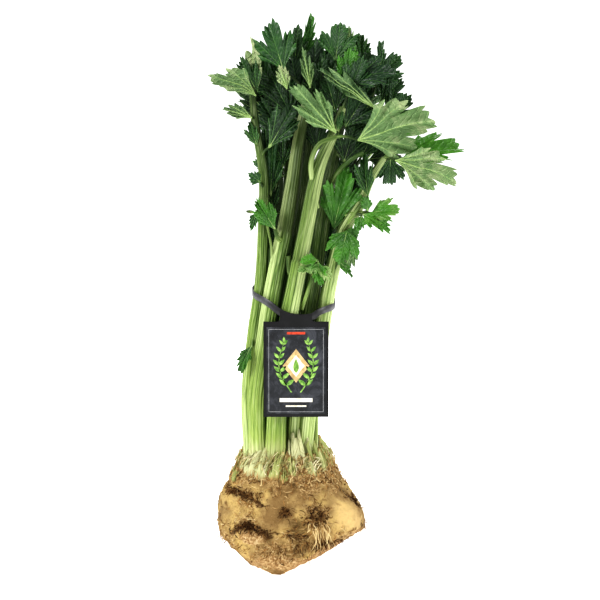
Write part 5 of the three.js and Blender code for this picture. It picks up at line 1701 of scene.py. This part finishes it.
def make_tag(style):
    make_strap(style)
    left, right, bottom, top = TAG["left"], TAG["right"], TAG["bottom"], TAG["top"]
    face, middle = TAG["front"], (left + right) / 2
    plates_piece("tag_card", card_finish(style), [(card_outline(), face, TAG["thickness"], 0.25)])
    inner = (left + BORDER, bottom + BORDER, right - BORDER, top - BORDER - TOP_MARGIN)
    plates_piece("tag_panel", panel_finish(style),
                 [(rectangle(*inner), face - PANEL_RISE, PANEL_RISE + PANEL_SINK, 0.04)])

    diamond = lambda wide, tall: [(middle + x * wide, EMBLEM_HEIGHT + z * tall)
                                  for x, z in ((0, -1), (1, 0), (0, 1), (-1, 0))]
    bar = lambda wide, low, tall: rectangle(middle - wide / 2, low, middle + wide / 2, low + tall)
    x0, z0, x1, z1 = (inner[0] + RULE_INSET, inner[1] + RULE_INSET,
                      inner[2] - RULE_INSET, inner[3] - RULE_INSET)
    rules = [rectangle(x0, z0, x1, z0 + RULE_WIDTH), rectangle(x0, z1 - RULE_WIDTH, x1, z1),
             rectangle(x0, z0, x0 + RULE_WIDTH, z1), rectangle(x1 - RULE_WIDTH, z0, x1, z1)]
    tan, cream = [diamond(*sizes) for sizes in DIAMONDS]
    mark = leaf_outline((middle, LEAF_MARK[0]), (0, 1), *LEAF_MARK[1:])
    prints = [
        ("tag_green", "#4f7d2e", "#9cc268", 1.0, sprig_outlines(1) + sprig_outlines(-1)),
        ("tag_tan", "#a98f62", "#d3bd8c", 1.0, [tan]),
        ("tag_cream", "#d9d2bb", "#f6f3e6", 1.3, [cream, *(bar(*row) for row in CREAM_BARS)]),
        ("tag_rule", "#8d8f92", "#b5b6b6", 1.0, rules),
        ("tag_red", "#a63a22", "#d5563a", 1.0, [bar(*RED_BAR)]),
        ("tag_leaf_mark", "#4f7d2e", "#86ac52", 1.6, [mark]),
    ]
    for name, dark, light, coats, shapes in prints:
        rise = PRINT_RISE * coats
        plates = [(shape, face - rise, rise, 0) for shape in shapes]
        plates_piece(name, ink_finish(name, dark, light), plates)


# ---------------------------------------------------------------- the stage

FRAME_SIDE = 600  # the picture's width and height, in its own units
FOCAL = 1297  # focal length in the same units
SENSOR = 36.0
CAMERA_RISE = 5.0
CAMERA_DISTANCE = 1.1
CAMERA_TARGET = (0.0085, 0.0, 0.2269)
LIGHT_TARGET = (0.01, 0.0, 0.25)
# Each light's name, place, size and power over that of the key light.
LIGHTS = (
    ("key", (-1.6, -0.9, 1.4), 0.8, 1.0),
    ("fill", (1.7, -0.7, 1.1), 1.0, 0.72),
    ("rear", (0.3, 1.6, 1.6), 1.2, 0.4),
)


def aim(thing, place, target):
    """Puts a light or a camera in place, turned to a target."""
    thing.location = place
    thing.rotation_euler = (Vector(target) - Vector(place)).to_track_quat("-Z", "Y").to_euler()
    bpy.context.scene.collection.objects.link(thing)


def make_stage(style):
    """A white floor that glows, a white surround, three lights and the camera."""
    scene = bpy.context.scene
    scene.view_settings.view_transform = "Standard"
    scene.view_settings.look = "High Contrast"
    world = bpy.data.worlds.new("studio")
    world.use_nodes = True
    sky = world.node_tree.nodes["Background"]
    sky.inputs["Color"].default_value = (1, 1, 1, 1)
    seen = world.node_tree.nodes.new("ShaderNodeLightPath").outputs["Is Camera Ray"]
    level = world.node_tree.nodes.new("ShaderNodeMapRange")
    level.inputs["To Min"].default_value = style.surround
    world.node_tree.links.new(seen, level.inputs["Value"])
    world.node_tree.links.new(level.outputs[0], sky.inputs["Strength"])
    scene.world = world

    mesh = bpy.data.meshes.new("floor")
    built = bmesh.new()
    bmesh.ops.create_grid(built, x_segments=2, y_segments=2, size=style.floor_size / 2)
    built.to_mesh(mesh)
    built.free()
    floor = bpy.data.objects.new("floor", mesh)
    scene.collection.objects.link(floor)
    plain = Finish("floor_white", Base_Color=colour_of(style.floor), Roughness=0.9, Specular_IOR_Level=0.1,
                   Emission_Color=(1, 1, 1, 1), Emission_Strength=style.floor_glow)
    mesh.materials.append(plain.material)

    for name, place, size, share in LIGHTS:
        lamp = bpy.data.lights.new(name, "AREA")
        lamp.size = size
        lamp.energy = style.key * share
        aim(bpy.data.objects.new(name, lamp), place, LIGHT_TARGET)

    lens = bpy.data.cameras.new("camera")
    lens.sensor_width = SENSOR
    lens.lens = FOCAL / FRAME_SIDE * SENSOR
    camera = bpy.data.objects.new("camera", lens)
    rise = math.radians(CAMERA_RISE)
    off = Vector((0, -math.cos(rise), math.sin(rise)))
    aim(camera, Vector(CAMERA_TARGET) + CAMERA_DISTANCE * off, CAMERA_TARGET)
    scene.camera = camera


# ---------------------------------------------------------------- settings a user can change


def colour_setting(name, description, colour):
    return FloatVectorProperty(name=name, description=description, subtype="COLOR", size=3, min=0, max=1,
                               default=linear(colour)[:3])


def length_setting(name, description, millimetres):
    return FloatProperty(name=name, description=description, unit="LENGTH", default=millimetres * MM)


class CELERIAC_PG_root(bpy.types.PropertyGroup):
    skin: colour_setting("Skin", "Corky skin of the bulb", "#a38a5c")
    skin_light: colour_setting("Light Skin", "Smooth, pale patches of skin", "#bfa56c")
    skin_shade: colour_setting("Dark Skin", "Rough, darker patches of skin", "#8a7048")
    scar: colour_setting("Scars", "Creases, knobs and scabs", "#2e2012")
    rootlet_length: FloatProperty(name="Rootlets", description="Length of the rootlets over the usual one",
                                  default=1.0, min=0.2, max=2.0, subtype="FACTOR")


class CELERIAC_PG_stalks(bpy.types.PropertyGroup):
    foot: colour_setting("Foot", "Stalk where it leaves the crown", "#dfdcb4")
    lower: colour_setting("Lower Stalk", "Stalk above its foot", "#9cb05c")
    middle: colour_setting("Middle Stalk", "Stalk at half its height", "#7d974a")
    top: colour_setting("Upper Stalk", "Stalk among the leaves", "#48612c")
    ribs: IntProperty(name="Ribs", description="Ribs across the back of a stalk", default=8, min=3, max=16)
    rib_depth: length_setting("Rib Depth", "Depth of the grooves between the ribs of a wide stalk", 0.85)


class CELERIAC_PG_leaves(bpy.types.PropertyGroup):
    deep: colour_setting("Deep", "Oldest, darkest leaflets", "#0d2010")
    fresh: colour_setting("Fresh", "Most leaflets", "#23491a")
    bright: colour_setting("Bright", "Youngest leaflets", "#4f8a24")
    vein: colour_setting("Veins", "Veins on the upper skin", "#6f9a52")
    thickness: length_setting("Thickness", "Thickness of a leaflet", 0.5)


class CELERIAC_PG_tag(bpy.types.PropertyGroup):
    border: colour_setting("Border", "Card and its border", "#0d0d0e")
    panel: colour_setting("Panel", "Printed panel", "#26282c")
    strap: colour_setting("Strap", "Strap round the stalks", "#4a4a4c")


class CELERIAC_PG_stage(bpy.types.PropertyGroup):
    floor: colour_setting("Floor", "Plain floor", "#fdfdfd")
    floor_size: FloatProperty(name="Floor Size", description="Side of the floor", unit="LENGTH", default=8.0)
    floor_glow: FloatProperty(name="Floor Glow", description="Light that the floor gives off", default=0.55)
    surround: FloatProperty(name="Surround", description="Light that falls from all round", default=0.34)
    key: FloatProperty(name="Key Light", description="Power of the main light", unit="POWER", default=32.0)


# ---------------------------------------------------------------- operators


class CELERIAC_OT_bulb(bpy.types.Operator):
    """Dress the bulb in its scarred, corky skin"""
    bl_idname = "celeriac.bulb"
    bl_label = "Bulb"

    def execute(self, context):
        make_bulb(context.scene.celeriac_root)
        return {"FINISHED"}


class CELERIAC_OT_rootlets(bpy.types.Operator):
    """Set tufts of rootlets on the bulb"""
    bl_idname = "celeriac.rootlets"
    bl_label = "Rootlets"

    def execute(self, context):
        make_rootlets(context.scene.celeriac_root)
        return {"FINISHED"}


class CELERIAC_OT_crown(bpy.types.Operator):
    """Ring the crown with torn leaf bases and dry strings"""
    bl_idname = "celeriac.crown"
    bl_label = "Crown"

    def execute(self, context):
        make_crown(context.scene.celeriac_root)
        return {"FINISHED"}


class CELERIAC_OT_stalks(bpy.types.Operator):
    """Dress every stalk with its ribs and side stems"""
    bl_idname = "celeriac.stalks"
    bl_label = "Stalks"

    def execute(self, context):
        make_stalks(context.scene.celeriac_stalks)
        return {"FINISHED"}


class CELERIAC_OT_leaves(bpy.types.Operator):
    """Dress every leaflet with its teeth and veins"""
    bl_idname = "celeriac.leaves"
    bl_label = "Leaflets"

    def execute(self, context):
        make_leaves(context.scene.celeriac_leaves)
        return {"FINISHED"}


class CELERIAC_OT_tag(bpy.types.Operator):
    """Make the hang tag and its strap"""
    bl_idname = "celeriac.tag"
    bl_label = "Hang Tag"

    def execute(self, context):
        make_tag(context.scene.celeriac_tag)
        return {"FINISHED"}


class CELERIAC_OT_stage(bpy.types.Operator):
    """Set the floor, the lights and the camera"""
    bl_idname = "celeriac.stage"
    bl_label = "Stage"

    def execute(self, context):
        make_stage(context.scene.celeriac_stage)
        return {"FINISHED"}


SETTINGS = {
    "celeriac_root": CELERIAC_PG_root,
    "celeriac_stalks": CELERIAC_PG_stalks,
    "celeriac_leaves": CELERIAC_PG_leaves,
    "celeriac_tag": CELERIAC_PG_tag,
    "celeriac_stage": CELERIAC_PG_stage,
}
OPERATORS = (
    CELERIAC_OT_stage, CELERIAC_OT_bulb, CELERIAC_OT_rootlets, CELERIAC_OT_crown,
    CELERIAC_OT_stalks, CELERIAC_OT_leaves, CELERIAC_OT_tag,
)


class CELERIAC_PT_looks(bpy.types.Panel):
    bl_idname = "CELERIAC_PT_looks"
    bl_label = "Celeriac Root"
    bl_space_type = "VIEW_3D"
    bl_region_type = "UI"
    bl_category = "Celeriac"

    def draw(self, context):
        for operator in OPERATORS:
            self.layout.operator(operator.bl_idname)
        for name in SETTINGS:
            box = self.layout.box()
            group = getattr(context.scene, name)
            for setting in group.__annotations__:
                box.prop(group, setting)


def register():
    for group in (*SETTINGS.values(), *OPERATORS, CELERIAC_PT_looks):
        bpy.utils.register_class(group)
    for name, group in SETTINGS.items():
        setattr(bpy.types.Scene, name, PointerProperty(type=group))


def unregister():
    for name in SETTINGS:
        delattr(bpy.types.Scene, name)
    for group in (CELERIAC_PT_looks, *reversed(OPERATORS), *reversed(SETTINGS.values())):
        bpy.utils.unregister_class(group)


def main():
    register()
    bpy.ops.celeriac.stage()
    bpy.ops.celeriac.bulb()
    bpy.ops.celeriac.rootlets()
    bpy.ops.celeriac.crown()
    bpy.ops.celeriac.stalks()
    bpy.ops.celeriac.leaves()
    bpy.ops.celeriac.tag()
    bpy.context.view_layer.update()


if __name__ == "__main__":
    main()
